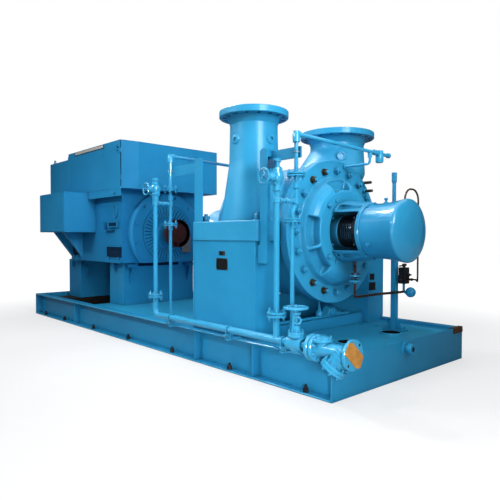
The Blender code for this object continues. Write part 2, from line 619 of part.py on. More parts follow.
# Inlet: strainer with its shipping cover, and the valve's handwheel
def inlet():
    x0 = STRAINER_X + FIT
    axis = (x0, HEADER_Y, HEADER_Z)
    joint = turned([(0, 0.120), (0.050, 0.120), (0.056, 0.094), (0.095, 0.090), (0.095, 0.064),
                    (0.084, 0.060), (0.095, 0.056), (0.095, 0.030), (0.050, 0.026), (0.034, 0.0), (0, 0)],
                   axis, (1, 0, 0), 32)
    barrel = tube([(x0 + 0.11, HEADER_Y, HEADER_Z), (x0 + 0.37, HEADER_Y, HEADER_Z)], 0.048, 4)
    cap = turned([(0, 0.090), (0.050, 0.086), (0.069, 0.070), (0.069, 0.054), (0.050, 0.050), (0.050, 0),
                  (0, 0)], (x0 + 0.125, HEADER_Y, HEADER_Z), (0, 0, 1), SMALL_ROUND)
    start = Vector((x0 + 0.305, HEADER_Y, HEADER_Z))
    end = Vector((x0 + 0.235, -1.100, 0.270))
    leg = rod(start, end, 0.062, sides=24)
    blind = rod(end - (end - start).normalized() * 0.045, end, 0.090, sides=24)
    face = turned([(0, 0.380), (0.104, 0.380), (0.104, 0.354), (0.056, 0.345), (0, 0.330)],
                  axis, (1, 0, 0), 32)
    node("inlet_strainer", combine(joint, [barrel, cap, leg, blind, face]), LIGHT_BLUE)
    strip = [(-0.098, 0.020), (-0.060, 0.086), (-0.020, 0.086), (0.098, -0.020), (0.060, -0.090),
             (0.020, -0.086)]
    cover = outline(strip, 0.005, (x0 + 0.3829, HEADER_Y, HEADER_Z), (0, 1, 0), (0, 0, 1))
    node("inlet_blank", cover, ORANGE)
    hand_wheel("handwheel_inlet", (INLET_X, HEADER_Y, 0.640), (0, 0, 1), 0.094, -0.0145, 0.018)


# Pipe supports on the front foot, and the instrument stand with its lines
def pipe_supports():
    base_z = FOOT_Z1 + FIT
    post = box((1.135, 1.250), (-0.920, -0.908), (base_z, 1.865))
    web = box((1.135, 1.147), (-0.915, -0.860), (base_z, 1.845))
    arm = box((PIPE_X[0] + BRANCH_R + 0.004, 1.140), (-0.867, -0.855), (1.745, 1.845))
    node("pipe_support_drive", combine(post, [web, arm]), LIGHT_BLUE)
    x0 = FOOT_X1 + FIT
    post = box((x0, x0 + 0.080), (-0.905, -0.893), (0.930, 1.835))
    web = box((x0, x0 + 0.012), (-0.900, -0.800), (0.930, 1.835))
    lug = box((PEDESTAL_X1 + FIT, x0 + 0.006), (-0.905, -0.800), (0.930, 1.080))
    arm = box((x0 + 0.006, PIPE_X[1] + 0.030), (-0.832, -0.820), (1.750, 1.835))
    bar = box((x0 + 0.006, x0 + 0.060), (-0.900, -0.822), (1.790, 1.850))
    node("pipe_support_outboard", combine(post, [web, lug, arm, bar]), LIGHT_BLUE)


def instrument_stand():
    x, y = STAND_X, STAND_Y
    base = DECK_TOP + FIT
    foot = box((x - 0.100, x + 0.100), (y - 0.046, y + 0.080), (base, base + 0.012))
    gusset = [(-0.095, base + 0.008), (0.095, base + 0.008), (0.030, base + 0.130), (-0.030, base + 0.130)]
    fin = outline(gusset, 0.010, (x, y, 0), (1, 0, 0), (0, 0, 1))
    post = box((x - 0.025, x + 0.025), (y - 0.025, y + 0.025), (base + 0.005, 1.00))
    pole = rod((x - 0.010, y, 0.95), (x - 0.010, y, 1.71), 0.018)
    tip = rod((x - 0.010, y, 1.66), (x - 0.010, y, 1.75), 0.024)
    arm = rod((x, y, 0.78), (x + 0.10, y, 0.78), 0.012, sides=8)
    valve = box((x + 0.068, x + 0.128), (y - 0.035, y + 0.035), (0.72, 0.86))
    pipe = tube(bend([(x + 0.098, y, 0.74), (x + 0.098, y, 0.63), (x + 0.165, y, 0.63)], 0.03), 0.012, 2)
    ball = turned([(0, 0.048), (0.024, 0.0416), (0.0416, 0.024), (0.048, 0), (0.0416, -0.024),
                   (0.024, -0.0416), (0, -0.048)], (x + 0.168, y, 0.64), (0, 0, 1), 20)
    node("instrument_stand", combine(foot, [fin, post, pole, tip, arm, valve, pipe, ball]), LIGHT_BLUE)


def small_lines():
    """Seal drain below the outboard seal, and the vent tube over the bearing cap, both led to the stand."""
    x = PUMP_X + 0.680
    top = SHAFT_Z - 0.2704
    side = (STAND_X + 0.098, STAND_Y - 0.012 - FIT, 0.640)
    points = [(x, 0, top), (x, 0, 0.610), (x, STAND_Y - 0.070, 0.610),
              (side[0], STAND_Y - 0.070, 0.640), side]
    drain = tube(bend(points, 0.02), 0.012, 2)
    joint = flange_pair((x, 0, 0.81), (0, 0, 1), 0.038, 0.009)
    node("seal_drain", combine(drain, [joint]), BARE_STEEL, 0.4, 0.8)
    x, near, far = PUMP_X + 1.130, 0.060, 0.276
    rise = SHAFT_Z + math.sqrt(CAP_R ** 2 - (near - 0.008) ** 2) + 0.0006
    end = STAND_X + 0.128 + FIT
    arch = bend([(x, near, rise), (x, near, 1.548), (x, far, 1.548), (x, far, 1.200)], 0.094, 7)
    fall = bend([(x, far, 1.100), (x, far, 0.760), (x - 0.130, 0.480, 0.760), (end, 0.480, 0.760)], 0.045)
    node("vent_tube", tube(arch + fall, 0.008, 2), BARE_STEEL, 0.4, 0.8)


skid()
deck()
pump_pedestals()
casing()
nozzles()
pump_ends()
rotors()
motor()
hood()
header()
for label, x, wheel_y, wheel_z in zip(("drive", "outboard"), PIPE_X, WHEEL_Y, WHEEL_Z):
    riser(label, x, wheel_y, wheel_z)
branches()
inlet()
pipe_supports()
instrument_stand()
small_lines()
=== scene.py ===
# Looks of the between-bearings pump set: finishes, fasteners, fittings and fine castings.
#
# Everything is in metres in the CAD model's frame: +X runs along the shaft from the motor
# to the pump's outboard bearing, -Y is the front with the cooling water pipes, +Z is up.

import json
import math

import bmesh
import bpy
from mathutils import Matrix, Vector


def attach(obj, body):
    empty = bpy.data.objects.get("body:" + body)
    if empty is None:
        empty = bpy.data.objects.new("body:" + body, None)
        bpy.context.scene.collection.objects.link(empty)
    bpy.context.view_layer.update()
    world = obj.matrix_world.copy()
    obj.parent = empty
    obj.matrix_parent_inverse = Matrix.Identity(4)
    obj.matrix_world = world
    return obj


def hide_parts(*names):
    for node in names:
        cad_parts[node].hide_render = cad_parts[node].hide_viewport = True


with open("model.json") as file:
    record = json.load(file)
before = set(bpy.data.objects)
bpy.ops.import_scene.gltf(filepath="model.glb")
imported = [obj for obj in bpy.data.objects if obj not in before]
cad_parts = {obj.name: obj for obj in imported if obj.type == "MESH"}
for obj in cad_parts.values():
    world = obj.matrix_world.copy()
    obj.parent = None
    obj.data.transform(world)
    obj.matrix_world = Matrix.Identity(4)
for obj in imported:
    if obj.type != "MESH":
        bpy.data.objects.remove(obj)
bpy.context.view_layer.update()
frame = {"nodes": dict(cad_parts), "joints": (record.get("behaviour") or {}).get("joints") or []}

scene = bpy.context.scene
nodes = frame["nodes"]


# The studio. The skid stands on a pale floor of sealed concrete, under one wide soft lamp and
# smaller ones that draw the glints. The camera looks level from off the pump end's front corner.
def to_linear(code):
    """An sRGB hex colour as linear RGBA."""
    channels = [int(code[i:i + 2], 16) / 255 for i in (1, 3, 5)]
    return (*[c / 12.92 if c <= 0.04045 else ((c + 0.055) / 1.055) ** 2.4 for c in channels], 1.0)


def put(tree, kind, inputs=None, **settings):
    """Adds one shader node; each input is a value, or another node's output to link."""
    made = tree.nodes.new("ShaderNode" + kind)
    for name, value in settings.items():
        setattr(made, name, value)
    for name, value in (inputs or {}).items():
        if isinstance(value, bpy.types.NodeSocket):
            tree.links.new(value, made.inputs[name])
        else:
            made.inputs[name].default_value = value
    return made


def new_finish(name, roughness, metallic=0.0):
    """A material with its node tree, its shader and its object coordinates in metres."""
    material = bpy.data.materials.new(name)
    material.use_nodes = True
    tree = material.node_tree
    shader = tree.nodes["Principled BSDF"]
    shader.inputs["Roughness"].default_value = roughness
    shader.inputs["Metallic"].default_value = metallic
    return material, tree, shader, put(tree, "TexCoord").outputs["Object"]


def two_tones(tree, factor, low, high, start=0.35, end=0.65):
    """A colour that runs from one hex colour to another as a factor rises."""
    ramp = put(tree, "ValToRGB", {"Fac": factor})
    ramp.color_ramp.elements[0].position = start
    ramp.color_ramp.elements[0].color = to_linear(low)
    ramp.color_ramp.elements[1].position = end
    ramp.color_ramp.elements[1].color = to_linear(high)
    return ramp.outputs["Color"]


# Sealed concrete: grey, with the faint clouds, 1.7 m wide, of a trowelled surface; a painted glow makes it
# look nearly white.
sealed_concrete, tree, shader, place = new_finish("sealed_concrete", 0.7)
cloud = put(tree, "TexNoise", {"Vector": place, "Scale": 1 / 1.667, "Detail": 4.0})
tree.links.new(two_tones(tree, cloud.outputs["Fac"], "#909294", "#98999b"), shader.inputs["Base Color"])
# Painted light: the floor glows for the camera alone, more and more away from the skid, so it looks white
# like a lit studio sweep.
reach = put(tree, "VectorMath", {0: place}, operation="LENGTH")
sweep = put(tree, "MapRange", {"Value": reach.outputs["Value"], "From Min": 2.4, "From Max": 7.0,
                               "To Min": 0.60}, interpolation_type="SMOOTHSTEP")
seen = put(tree, "LightPath").outputs["Is Camera Ray"]
painted_glow = put(tree, "Math", {0: sweep.outputs["Result"], 1: seen}, operation="MULTIPLY")
tree.links.new(painted_glow.outputs["Value"], shader.inputs["Emission Strength"])
shader.inputs["Emission Color"].default_value = (1.0, 1.0, 1.0, 1.0)

bm = bmesh.new()
bmesh.ops.create_grid(bm, x_segments=8, y_segments=8, size=40.0)
floor_mesh = bpy.data.meshes.new("studio_floor")
bm.to_mesh(floor_mesh)
bm.free()
floor_mesh.materials.append(sealed_concrete)
floor = bpy.data.objects.new("studio_floor", floor_mesh)
floor.location.z = -0.0005
scene.collection.objects.link(floor)

# Each lamp's name, place, target, width and height in metres, spread in degrees and power in watts.
LAMPS = (
    ("overhead_lamp", (0.0, 0.0, 9.0), (0.0, 0.0, 0.0), (18.0, 18.0), 180, 1230.0),
    ("key_lamp", (-0.2, -5.2, 3.9), (0.6, 0.0, 0.7), (2.2, 0.45), 100, 48.0),
    ("pump_end_lamp", (6.0, -1.6, 3.4), (0.0, 0.0, 2.0), (2.0, 2.0), 60, 38.0),
    ("corner_lamp", (5.2, -3.4, 0.9), (2.2, -1.0, 0.3), (0.8, 0.8), 60, 14.0),
    ("glint_lamp", (-2.0, -2.2, 4.2), (2.3, -1.0, 0.6), (0.5, 0.5), 50, 10.0),
    ("strip_lamp", (-1.1, -0.2, 4.75), (2.6, -0.2, 1.3), (0.3, 1.4), 60, 16.0),
)
for lamp_name, lamp_place, target, (width, height), spread, power in LAMPS:
    data = bpy.data.lights.new(lamp_name, "AREA")
    data.shape = "RECTANGLE"
    data.size = width
    data.size_y = height
    data.spread = math.radians(spread)
    data.energy = power
    lamp = bpy.data.objects.new(lamp_name, data)
    lamp.location = lamp_place
    lamp.rotation_euler = (Vector(target) - Vector(lamp_place)).to_track_quat("-Z", "Y").to_euler()
    lamp.visible_camera = False
    scene.collection.objects.link(lamp)

world = bpy.data.worlds.new("studio_daylight")
world.use_nodes = True
background = world.node_tree.nodes["Background"]
seen = put(world.node_tree, "LightPath").outputs["Is Camera Ray"]
strength = put(world.node_tree, "MapRange", {"Value": seen, "To Min": 0.02, "To Max": 1.0})
world.node_tree.links.new(strength.outputs["Result"], background.inputs["Strength"])
background.inputs["Color"].default_value = (1.0, 1.0, 1.0, 1.0)
scene.world = world
scene.view_settings.view_transform = "Standard"

CAMERA_PLACE = Vector((4.9575, -3.7159, 1.1337))
YAW, PITCH, ROLL = (math.radians(angle) for angle in (47.5484, -1.3418, 0.0935))
ahead = Vector((-math.sin(YAW) * math.cos(PITCH), math.cos(YAW) * math.cos(PITCH), math.sin(PITCH)))
level = Vector((math.cos(YAW), math.sin(YAW), 0.0))
rise = level.cross(ahead)
across = level * math.cos(ROLL) + rise * math.sin(ROLL)
upward = rise * math.cos(ROLL) - level * math.sin(ROLL)
camera_data = bpy.data.cameras.new("photo_camera")
camera_data.sensor_width = 36.0
camera_data.lens = 36.362
camera = bpy.data.objects.new("photo_camera", camera_data)
turned = Matrix((across, upward, -ahead)).transposed().to_4x4()
camera.matrix_world = Matrix.Translation(CAMERA_PLACE) @ turned
scene.collection.objects.link(camera)
scene.camera = camera


# Skid. Two rolled channels with plate stiffeners, boxed in by end plates and cross members,
# welded, blasted and sprayed. It stands on jack screws, and has a drain socket in the pump's
# end plate and a rusted strap bolted round its rear corner.
UP = (0, 0, 1)
ALONG = (1, 0, 0)
CREASE = math.radians(35)
END_X = 2.787
TOE_Y = 0.9775
TOE_RADIUS = 0.0081
WEB_Y = 0.899
STIFFENER_X = (-1.45, 1.20, 1.98)
SKID_TOP = 0.3002


def blue_enamel(name, low, high, grain, relief, roughness, edge=3, coat_weight=0.15, reach=60, painted_shade_share=0.5):
    """Sprayed sky blue enamel over steel or iron, with all its lengths in millimetres.

    Grain is the width of the bumps that show through the paint and relief is their height.
    Paint thins on edges, so they catch the light, and painted shade darkens the colour in corners
    within the given reach, down to the share of the paint's colour that the last argument gives.
    """
    material, tree, shader, place = new_finish(name, roughness)
    patch = put(tree, "TexNoise", {"Vector": place, "Scale": 1000 / 454.5, "Detail": 5.0, "Roughness": 0.6})
    paint = two_tones(tree, patch.outputs["Fac"], low, high, 0.3, 0.7)
    # Painted shade: ambient occlusion darkens the paint's colour in corners, hollows and under overhangs.
    corner = put(tree, "AmbientOcclusion", {"Distance": reach / 1000}, samples=4)
    depth = put(tree, "MapRange", {"Value": corner.outputs["AO"], "From Min": 0.2, "From Max": 0.85,
                                   "To Min": painted_shade_share, "To Max": 1.0})
    shaded = put(tree, "Mix", {"Factor": 1.0, "A": paint, "B": depth.outputs["Result"]},
                 data_type="RGBA", blend_type="MULTIPLY")
    tree.links.new(shaded.outputs["Result"], shader.inputs["Base Color"])
    gloss = put(tree, "MapRange", {"Value": patch.outputs["Fac"], "To Min": roughness - 0.07,
                                   "To Max": roughness + 0.09})
    tree.links.new(gloss.outputs["Result"], shader.inputs["Roughness"])
    edge_round = put(tree, "Bevel", {"Radius": edge / 1000}, samples=4)
    grains = put(tree, "TexNoise", {"Vector": place, "Scale": 1000 / grain, "Detail": 3.0})
    bump = put(tree, "Bump", {"Height": grains.outputs["Fac"], "Distance": relief / 1000, "Strength": 1.0,
                              "Normal": edge_round.outputs["Normal"]})
    tree.links.new(bump.outputs["Normal"], shader.inputs["Normal"])
    shader.inputs["IOR"].default_value = 1.42
    shader.inputs["Specular Tint"].default_value = to_linear("#a9d6f2")
    shader.inputs["Coat Weight"].default_value = coat_weight
    shader.inputs["Coat Roughness"].default_value = 0.06
    return material


def mottled(name, low, high, patch, roughness, metallic=0.0, detail=4.0, ragged=0.5, tones=(0.35, 0.65),
            relief=0.0, strength=1.0, specular=0.5):
    """A finish that drifts between two hex tones, over patches of a width in millimetres.

    Ragged breaks up the patches' rims, and relief is the height in millimetres to which they stand.
    """
    material, tree, shader, place = new_finish(name, roughness, metallic)
    noise = put(tree, "TexNoise", {"Vector": place, "Scale": 1000 / patch, "Detail": detail,
                                   "Roughness": ragged})
    tree.links.new(two_tones(tree, noise.outputs["Fac"], low, high, *tones), shader.inputs["Base Color"])
    if relief:
        bump = put(tree, "Bump", {"Height": noise.outputs["Fac"], "Distance": relief / 1000,
                                  "Strength": strength})
        tree.links.new(bump.outputs["Normal"], shader.inputs["Normal"])
    shader.inputs["Specular IOR Level"].default_value = specular
    return material


# Enamel on rolled plate: 60 mm lumps under the paint are mill scale and grinding, drawn coarse to show.
enamel_on_plate = blue_enamel("enamel_on_plate", "#2186b6", "#2891c1", 60, 1.0, 0.42)
# Enamel on rolled toes: the flange edges are smooth, so the paint runs full and shines there, and a lighter
# blue than the plate's paints a highlight along them.
toe_enamel_painted_highlight = blue_enamel("rolled_toe_enamel_painted_highlight", "#2b97c6", "#3fa9d6", 20, 0.3, 0.26, 2, coat_weight=1.0)
# Painted shade: a nearly black, faintly brown steel finish for the members under the motor, where deep shade
# falls.
painted_shade_steel = mottled("painted_shade_black_steel", "#050505", "#17110e", 55.6, 0.75, 0.2, detail=5.0)
# Black oxide steel: the dull dark finish of unpainted screws, its wear drawn 11 mm wide to show.
black_oxide = mottled("black_oxide_steel", "#17181a", "#37393c", 11.1, 0.5, 0.7, detail=3.0)
# Rusted steel: brown scale with orange bloom in 15 mm patches, quite rough.
rusted_steel = mottled("rusted_steel", "#2b211c", "#6b4a35", 15.4, 0.85, 0.2, detail=6.0, ragged=0.7,
                       relief=2.0)


def coat(material, *names):
    """Gives CAD nodes their finish."""
    for name in names:
        nodes[name].material_slots[0].material = material


def add_block(bm, x, y, z):
    """A block between two values, in either order, on each axis."""
    size = [abs(span[1] - span[0]) for span in (x, y, z)]
    middle = [(span[0] + span[1]) / 2 for span in (x, y, z)]
    bmesh.ops.create_cube(bm, size=1.0, matrix=Matrix.Translation(middle) @ Matrix.Diagonal((*size, 1.0)))


def add_plate(bm, corners, depth):
    """A flat plate: its corners in order, pushed along the depth vector."""
    near = [bm.verts.new(corner) for corner in corners]
    far = [bm.verts.new(Vector(corner) + Vector(depth)) for corner in corners]
    bm.faces.new(near)
    bm.faces.new(far[::-1])
    for i in range(len(near)):
        j = (i + 1) % len(near)
        bm.faces.new((near[i], far[i], far[j], near[j]))


def evenly(count, shift=0.0):
    """Angles in degrees of a count of points spaced evenly round a circle."""
    return [360 * (index + shift) / count for index in range(count)]


def on_circle(radius, angles):
    """Points of a circle at angles in degrees, as pairs of lengths along its two axes."""
    turns = [math.radians(angle) for angle in angles]
    return [(radius * math.cos(turn), radius * math.sin(turn)) for turn in turns]


def add_turned(bm, profile, origin, axis, sides=48):
    """Turns a list of (radius, height) points about an axis; a zero radius closes the end."""
    turn = Matrix.Translation(origin) @ Vector(axis).to_track_quat("Z", "Y").to_matrix().to_4x4()
    rings = []
    for radius, height in profile:
        spots = on_circle(radius, evenly(sides if radius > 0 else 1))
        rings.append([bm.verts.new(turn @ Vector((*spot, height))) for spot in spots])
    for low, high in zip(rings, rings[1:]):
        for i in range(sides):
            j = (i + 1) % sides
            corners = (low[i % len(low)], low[j % len(low)], high[j % len(high)], high[i % len(high)])
            bm.faces.new(dict.fromkeys(corners))


def add_tube(bm, points, radius, sides=14):
    """A round bar or pipe that follows a list of points, with flat ends."""
    points = [Vector(point) for point in points]
    side = (points[1] - points[0]).orthogonal().normalized()
    rings = []
    for i, point in enumerate(points):
        ahead = (points[min(i + 1, len(points) - 1)] - points[max(i - 1, 0)]).normalized()
        side = (side - ahead * side.dot(ahead)).normalized()
        other = ahead.cross(side)
        rings.append([bm.verts.new(point + side * out + other * up)
                      for out, up in on_circle(radius, evenly(sides))])
    for low, high in zip(rings, rings[1:]):
        for k in range(sides):
            j = (k + 1) % sides
            bm.faces.new((low[k], low[j], high[j], high[k]))
    bm.faces.new(rings[0])
    bm.faces.new(rings[-1])


def add_nut(bm, place, axis, flats, stud=0.0, height=None):
    """A washer and a chamfered hexagon nut, with a stud end standing out of it."""
    height = height or flats * 0.8
    corner = flats / 2 / math.cos(math.pi / 6)
    washer, washer_height = corner * 1.12, flats * 0.10
    add_turned(bm, [(0, 0), (washer, 0), (washer, washer_height), (0, washer_height)], place, axis, 20)
    base = Vector(place) + Vector(axis) * washer_height
    add_turned(bm, [(0, 0), (corner, 0), (corner, height * 0.86), (corner * 0.84, height), (0, height)],
               base, axis, 6)
    if stud:
        top = base + Vector(axis) * height
        radius = flats * 0.30
        add_turned(bm, [(radius, 0), (radius, stud - radius * 0.25), (radius * 0.75, stud), (0, stud)],
                   top, axis, 14)


def make(name, bm, material, body="skid", bevel=0.0, stands_for=()):
    """Turns a bmesh into a named piece with shading, rounded edges, a body and a slot."""
    bmesh.ops.remove_doubles(bm, verts=bm.verts, dist=0.000001)
    bmesh.ops.recalc_face_normals(bm, faces=bm.faces)
    mesh = bpy.data.meshes.new(name)
    bm.to_mesh(mesh)
    bm.free()
    mesh.shade_smooth()
    mesh.set_sharp_from_angle(angle=CREASE)
    mesh.materials.append(material)
    piece = bpy.data.objects.new(name, mesh)
    scene.collection.objects.link(piece)
    if bevel:
        rounding = piece.modifiers.new("rounded_edges", "BEVEL")
        rounding.width = bevel
        rounding.segments = 2
        rounding.limit_method = "ANGLE"
        rounding.angle_limit = CREASE
    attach(piece, body)
    if stands_for:
        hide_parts(*stands_for)


coat(enamel_on_plate, "skid_channel_front", "skid_channel_rear", "skid_end_plate_pump",
     "skid_end_plate_motor", "cross_member_3", "cross_member_4", "tie_beam", "pedestal_web")
# The cross members under the motor are nearly black: painted shade.
coat(painted_shade_steel, "cross_member_1", "cross_member_2")

bm = bmesh.new()
for x in (-2.47, -1.80, -0.92, -0.06, 0.81, 1.68, 2.54):
    for y in (-0.952, 0.952):
        add_nut(bm, (x, y, 0.0162), UP, 0.036, 0.022)
make("skid_jack_screws", bm, black_oxide)

bm = bmesh.new()
for side in (-1, 1):
    for z in (TOE_RADIUS, SKID_TOP - TOE_RADIUS):
        add_tube(bm, [(-END_X, side * TOE_Y, z), (END_X, side * TOE_Y, z)], TOE_RADIUS, 24)
make("skid_flange_toes", bm, toe_enamel_painted_highlight)

bm = bmesh.new()
for side in (-1, 1):
    for x in STIFFENER_X:
        for face in (-0.0075, 0.0075):
            add_tube(bm, [(x + face, side * WEB_Y, 0.02), (x + face, side * WEB_Y, 0.28)], 0.0045, 8)
        for z in (0.0185, 0.2815):
            add_tube(bm, [(x, side * 0.966, z), (x, side * 0.902, z)], 0.0045, 8)
    for x in (END_X - 0.001, 0.001 - END_X):
        add_tube(bm, [(x, side * WEB_Y, 0.018), (x, side * WEB_Y, 0.282)], 0.005, 8)
    add_tube(bm, [(END_X - 0.001, side * 0.965, 0.018), (END_X - 0.001, side * 0.900, 0.018)], 0.005, 8)
make("skid_weld_beads", bm, enamel_on_plate)

bm = bmesh.new()
add_block(bm, (2.765, 2.806), (0.800, 0.978), (SKID_TOP, 0.3062))
add_block(bm, (2.8004, 2.8064), (0.800, 0.978), (0.252, 0.3040))
add_nut(bm, (2.8064, 0.930, 0.279), ALONG, 0.019, 0.006)
make("skid_corner_strap", bm, rusted_steel, bevel=0.001)

bm = bmesh.new()
socket = (2.866, -0.03, 0.243)
add_turned(bm, [(0.022, -0.050), (0.022, 0.006), (0.044, 0.006), (0.047, 0.002), (0.047, -0.030),
                (0.036, -0.036)], socket, ALONG, 32)
add_turned(bm, [(0.060, -0.0655), (0.052, -0.058), (0.036, -0.054)], socket, ALONG, 32)
make("skid_drain_socket", bm, enamel_on_plate, bevel=0.001)
# Painted shade: a black disc closes the socket's bore.
bm = bmesh.new()
add_turned(bm, [(0, 0.0012), (0.0218, 0.0012), (0.0218, 0.0), (0, 0.0)], socket, ALONG, 24)
make("skid_drain_bore_shade", bm, black_oxide)


# Drip deck. Ten millimetre plate, fillet welded between the channels, dished a little towards
# the drain, with two grouting holes whose rims stand up so that spills stay on the deck.
DECK_TOP = 0.265
GROUT_HOLES = ((2.43, 0.345, DECK_TOP), (2.43, -0.30, DECK_TOP))
FILLET = 0.014
# Enamel on the deck is smoother and glossier: walked-on plate with long shallow buckles.
enamel_on_deck = blue_enamel("enamel_on_deck", "#2c98c4", "#38a6cf", 350, 4.0, 0.30)
coat(enamel_on_deck, "deck_plate")
# Painted shade: nearly black sheets that line the holes and close them below, where hardly any light gets in.
hole_shade_black = mottled("painted_hole_shade", "#04080d", "#0a141d", 33.3, 0.9, specular=0.15)

rims = bmesh.new()
shade_sheets = bmesh.new()
for hole in GROUT_HOLES:
    add_turned(rims, [(0.0845, -0.020), (0.0845, 0.0105), (0.088, 0.0135), (0.094, 0.0135),
                      (0.0975, 0.0105), (0.0975, 0.0015), (0.108, -0.0015)], hole, UP, 48)
    add_turned(shade_sheets, [(0.0846, -0.020), (0.0834, -0.020), (0.0834, 0.0115), (0.0846, 0.0115),
                         (0.0846, -0.020)], hole, UP, 48)
    add_turned(shade_sheets, [(0, -0.020), (0.0834, -0.020), (0.0834, -0.018), (0, -0.018)], hole, UP, 48)
make("grout_hole_rims", rims, enamel_on_deck)
make("grout_hole_shade_sheets", shade_sheets, hole_shade_black)


def add_fillet(bm, start, out, run):
    """A three-cornered weld bead: up from its start, and out along one way, pushed along a run."""
    start = Vector(start)
    add_plate(bm, [start, start + Vector(out), start + Vector((0, 0, FILLET))], run)


bm = bmesh.new()
for side in (-1, 1):
    add_fillet(bm, (-1.28, side * 0.8845, DECK_TOP), (0, -side * FILLET, 0), (4.065, 0, 0))
add_fillet(bm, (2.7875, -0.884, DECK_TOP), (-FILLET, 0, 0), (0, 1.768, 0))
make("deck_fillet_welds", bm, enamel_on_plate)


# Pump pedestals. Welded boxes of plate that carry the casing's feet near the shaft's height,
# with fillet welds at the foot and down the corners, and small dark plates riveted on.
PEDESTAL_ENDS = (1.13, 1.965)
PEDESTAL_FACE = 0.9255
coat(enamel_on_plate, "pump_pedestal_front", "pump_pedestal_rear")
# Black anodised aluminium: the satin skin of thin riveted plates, its grain drawn 6 mm wide to show.
black_plate = mottled("black_anodised_aluminium", "#0c0d0f", "#1c1e21", 6.25, 0.42, 0.5, detail=2.0)
# Zinc-plated steel: the pale grey of small rivets and clips, its spangle drawn 8 mm wide to show.
zinc_plate = mottled("zinc_plated_steel", "#8f9497", "#bfc3c6", 8.33, 0.35, 0.9, detail=2.0)

bm = bmesh.new()
for side in (-1, 1):
    face = side * PEDESTAL_FACE
    for x, out in zip(PEDESTAL_ENDS, (-1, 1)):
        add_tube(bm, [(x, face, 0.322), (x, face, 1.106)], 0.006, 10)
        add_tube(bm, [(x, side * 0.8845, 0.321), (x, face, 0.321)], 0.006, 10)
        add_plate(bm, [(x, side * 0.662, 0.2655), (x + out * 0.012, side * 0.662, 0.2655),
                       (x, side * 0.662, 0.278)], (0, side * 0.222, 0))
    add_tube(bm, [(x, side * 0.927, 0.3215) for x in PEDESTAL_ENDS], 0.008, 10)
make("pedestal_fillet_welds", bm, enamel_on_plate)

plates = bmesh.new()
rivets = bmesh.new()
for x0, x1, z0, z1 in ((1.503, 1.586, 0.984, 1.021), (1.468, 1.620, 0.856, 0.958)):
    for side in (-1, 1):
        y = side * 0.9252
        add_block(plates, (x0, x1), (y, y + side * 0.0025), (z0, z1))
        for x in (x0 + 0.008, x1 - 0.008):
            for z in (z0 + 0.008, z1 - 0.008):
                add_turned(rivets, [(0.0032, 0), (0.0024, 0.0016), (0, 0.002)], (x, y + side * 0.0025, z),
                           (0, side, 0), 8)
add_block(plates, (1.9652, 1.9677), (0.690, 0.770), (0.705, 0.770))
add_block(plates, (1.9652, 1.9677), (0.676, 0.790), (0.600, 0.680))
make("pedestal_blank_plates", plates, black_plate, bevel=0.0006)
make("pedestal_plate_rivets", rivets, zinc_plate)


# Casing drain. A screwed pipe clipped along the tie beam under the casing, with a small globe
# valve and its stem in the middle and a cast drain trap beside it.
CASING_DRAIN_X = 1.882
bm = bmesh.new()
add_tube(bm, [(CASING_DRAIN_X, -0.640, 0.3865), (CASING_DRAIN_X, 0.440, 0.3865)], 0.016, 16)
for y in (-0.45, -0.10, 0.26):
    add_block(bm, (1.850, 1.899), (y - 0.012, y + 0.012), (0.3705, 0.378))
add_turned(bm, [(0, 0.385), (0.026, 0.385), (0.034, 0.400), (0.036, 0.430), (0.028, 0.446), (0.017, 0.452),
                (0.017, 0.466), (0.010, 0.470)], (CASING_DRAIN_X, -0.010, 0), UP, 24)
add_turned(bm, [(0.0, 0.0), (0.014, 0.002), (0.009, 0.050), (0.008, 0.104), (0, 0.108)],
           (CASING_DRAIN_X, -0.010, 0.462), (0.0, -0.12, 0.99), 16)
add_turned(bm, [(0.0, -0.075), (0.040, -0.075), (0.048, -0.068), (0.048, -0.052), (0.036, -0.046),
                (0.050, -0.020), (0.054, 0.010), (0.046, 0.040), (0.030, 0.062), (0.030, 0.084),
                (0.017, 0.090), (0.017, 0.150), (0, 0.150)], (1.872, 0.170, 0.425), (0, 1, -0.18), 28)
add_block(bm, (1.850, 1.894), (0.120, 0.215), (0.3705, 0.395))
make("casing_drain_line", bm, enamel_on_plate, bevel=0.0008)


# Pump casing. One grey iron sand casting: barrel, feet and the roots of both top nozzles,
# with generous fillets, sprayed thickly. Its feet are milled and held down by large nuts.
PUMP_X = 1.60
SHAFT_Z = 1.195
PUMP_MIDDLE = (PUMP_X, 0, SHAFT_Z)
DISCHARGE_Y = -0.60
SUCTION_Y = 0.605
# Enamel on the casting: the sand's grain, about 1 mm, drawn at 28 mm to show, gives soft glints.
# Its painted shade reaches 140 mm into corners and darkens them to a quarter of the paint's colour.
enamel_on_casting = blue_enamel("enamel_on_casting", "#2a8fbe", "#329ac8", 28, 1.2, 0.40,
                                reach=140, painted_shade_share=0.25)


def solid_body(name, bm):
    """A plain object of a bmesh, to be used in a Boolean."""
    bmesh.ops.recalc_face_normals(bm, faces=bm.faces)
    mesh = bpy.data.meshes.new(name)
    bm.to_mesh(mesh)
    bm.free()
    body = bpy.data.objects.new(name, mesh)
    scene.collection.objects.link(body)
    return body


def add_leaning_cone(bm, low, high, radius_low, radius_high, sides=64):
    """A round neck whose level circles shift sideways between two heights."""
    foot, head = ([bm.verts.new((x + along, y + across, z))
                   for along, across in on_circle(radius, evenly(sides))]
                  for (x, y, z), radius in ((low, radius_low), (high, radius_high)))
    for i in range(sides):
        j = (i + 1) % sides
        bm.faces.new((foot[i], foot[j], head[j], head[i]))
    bm.faces.new(foot)
    bm.faces.new(head)


def boolean(base, tool, operation):
    """Joins or cuts one body with another and drops the tool."""
    step = base.modifiers.new("boolean", "BOOLEAN")
    step.object = tool
    step.operation = operation
    step.solver = "EXACT"
    bpy.context.view_layer.update()
    mesh = bpy.data.meshes.new_from_object(base.evaluated_get(bpy.context.evaluated_depsgraph_get()))
    base.modifiers.clear()
    base.data = mesh
    bpy.data.objects.remove(tool, do_unlink=True)


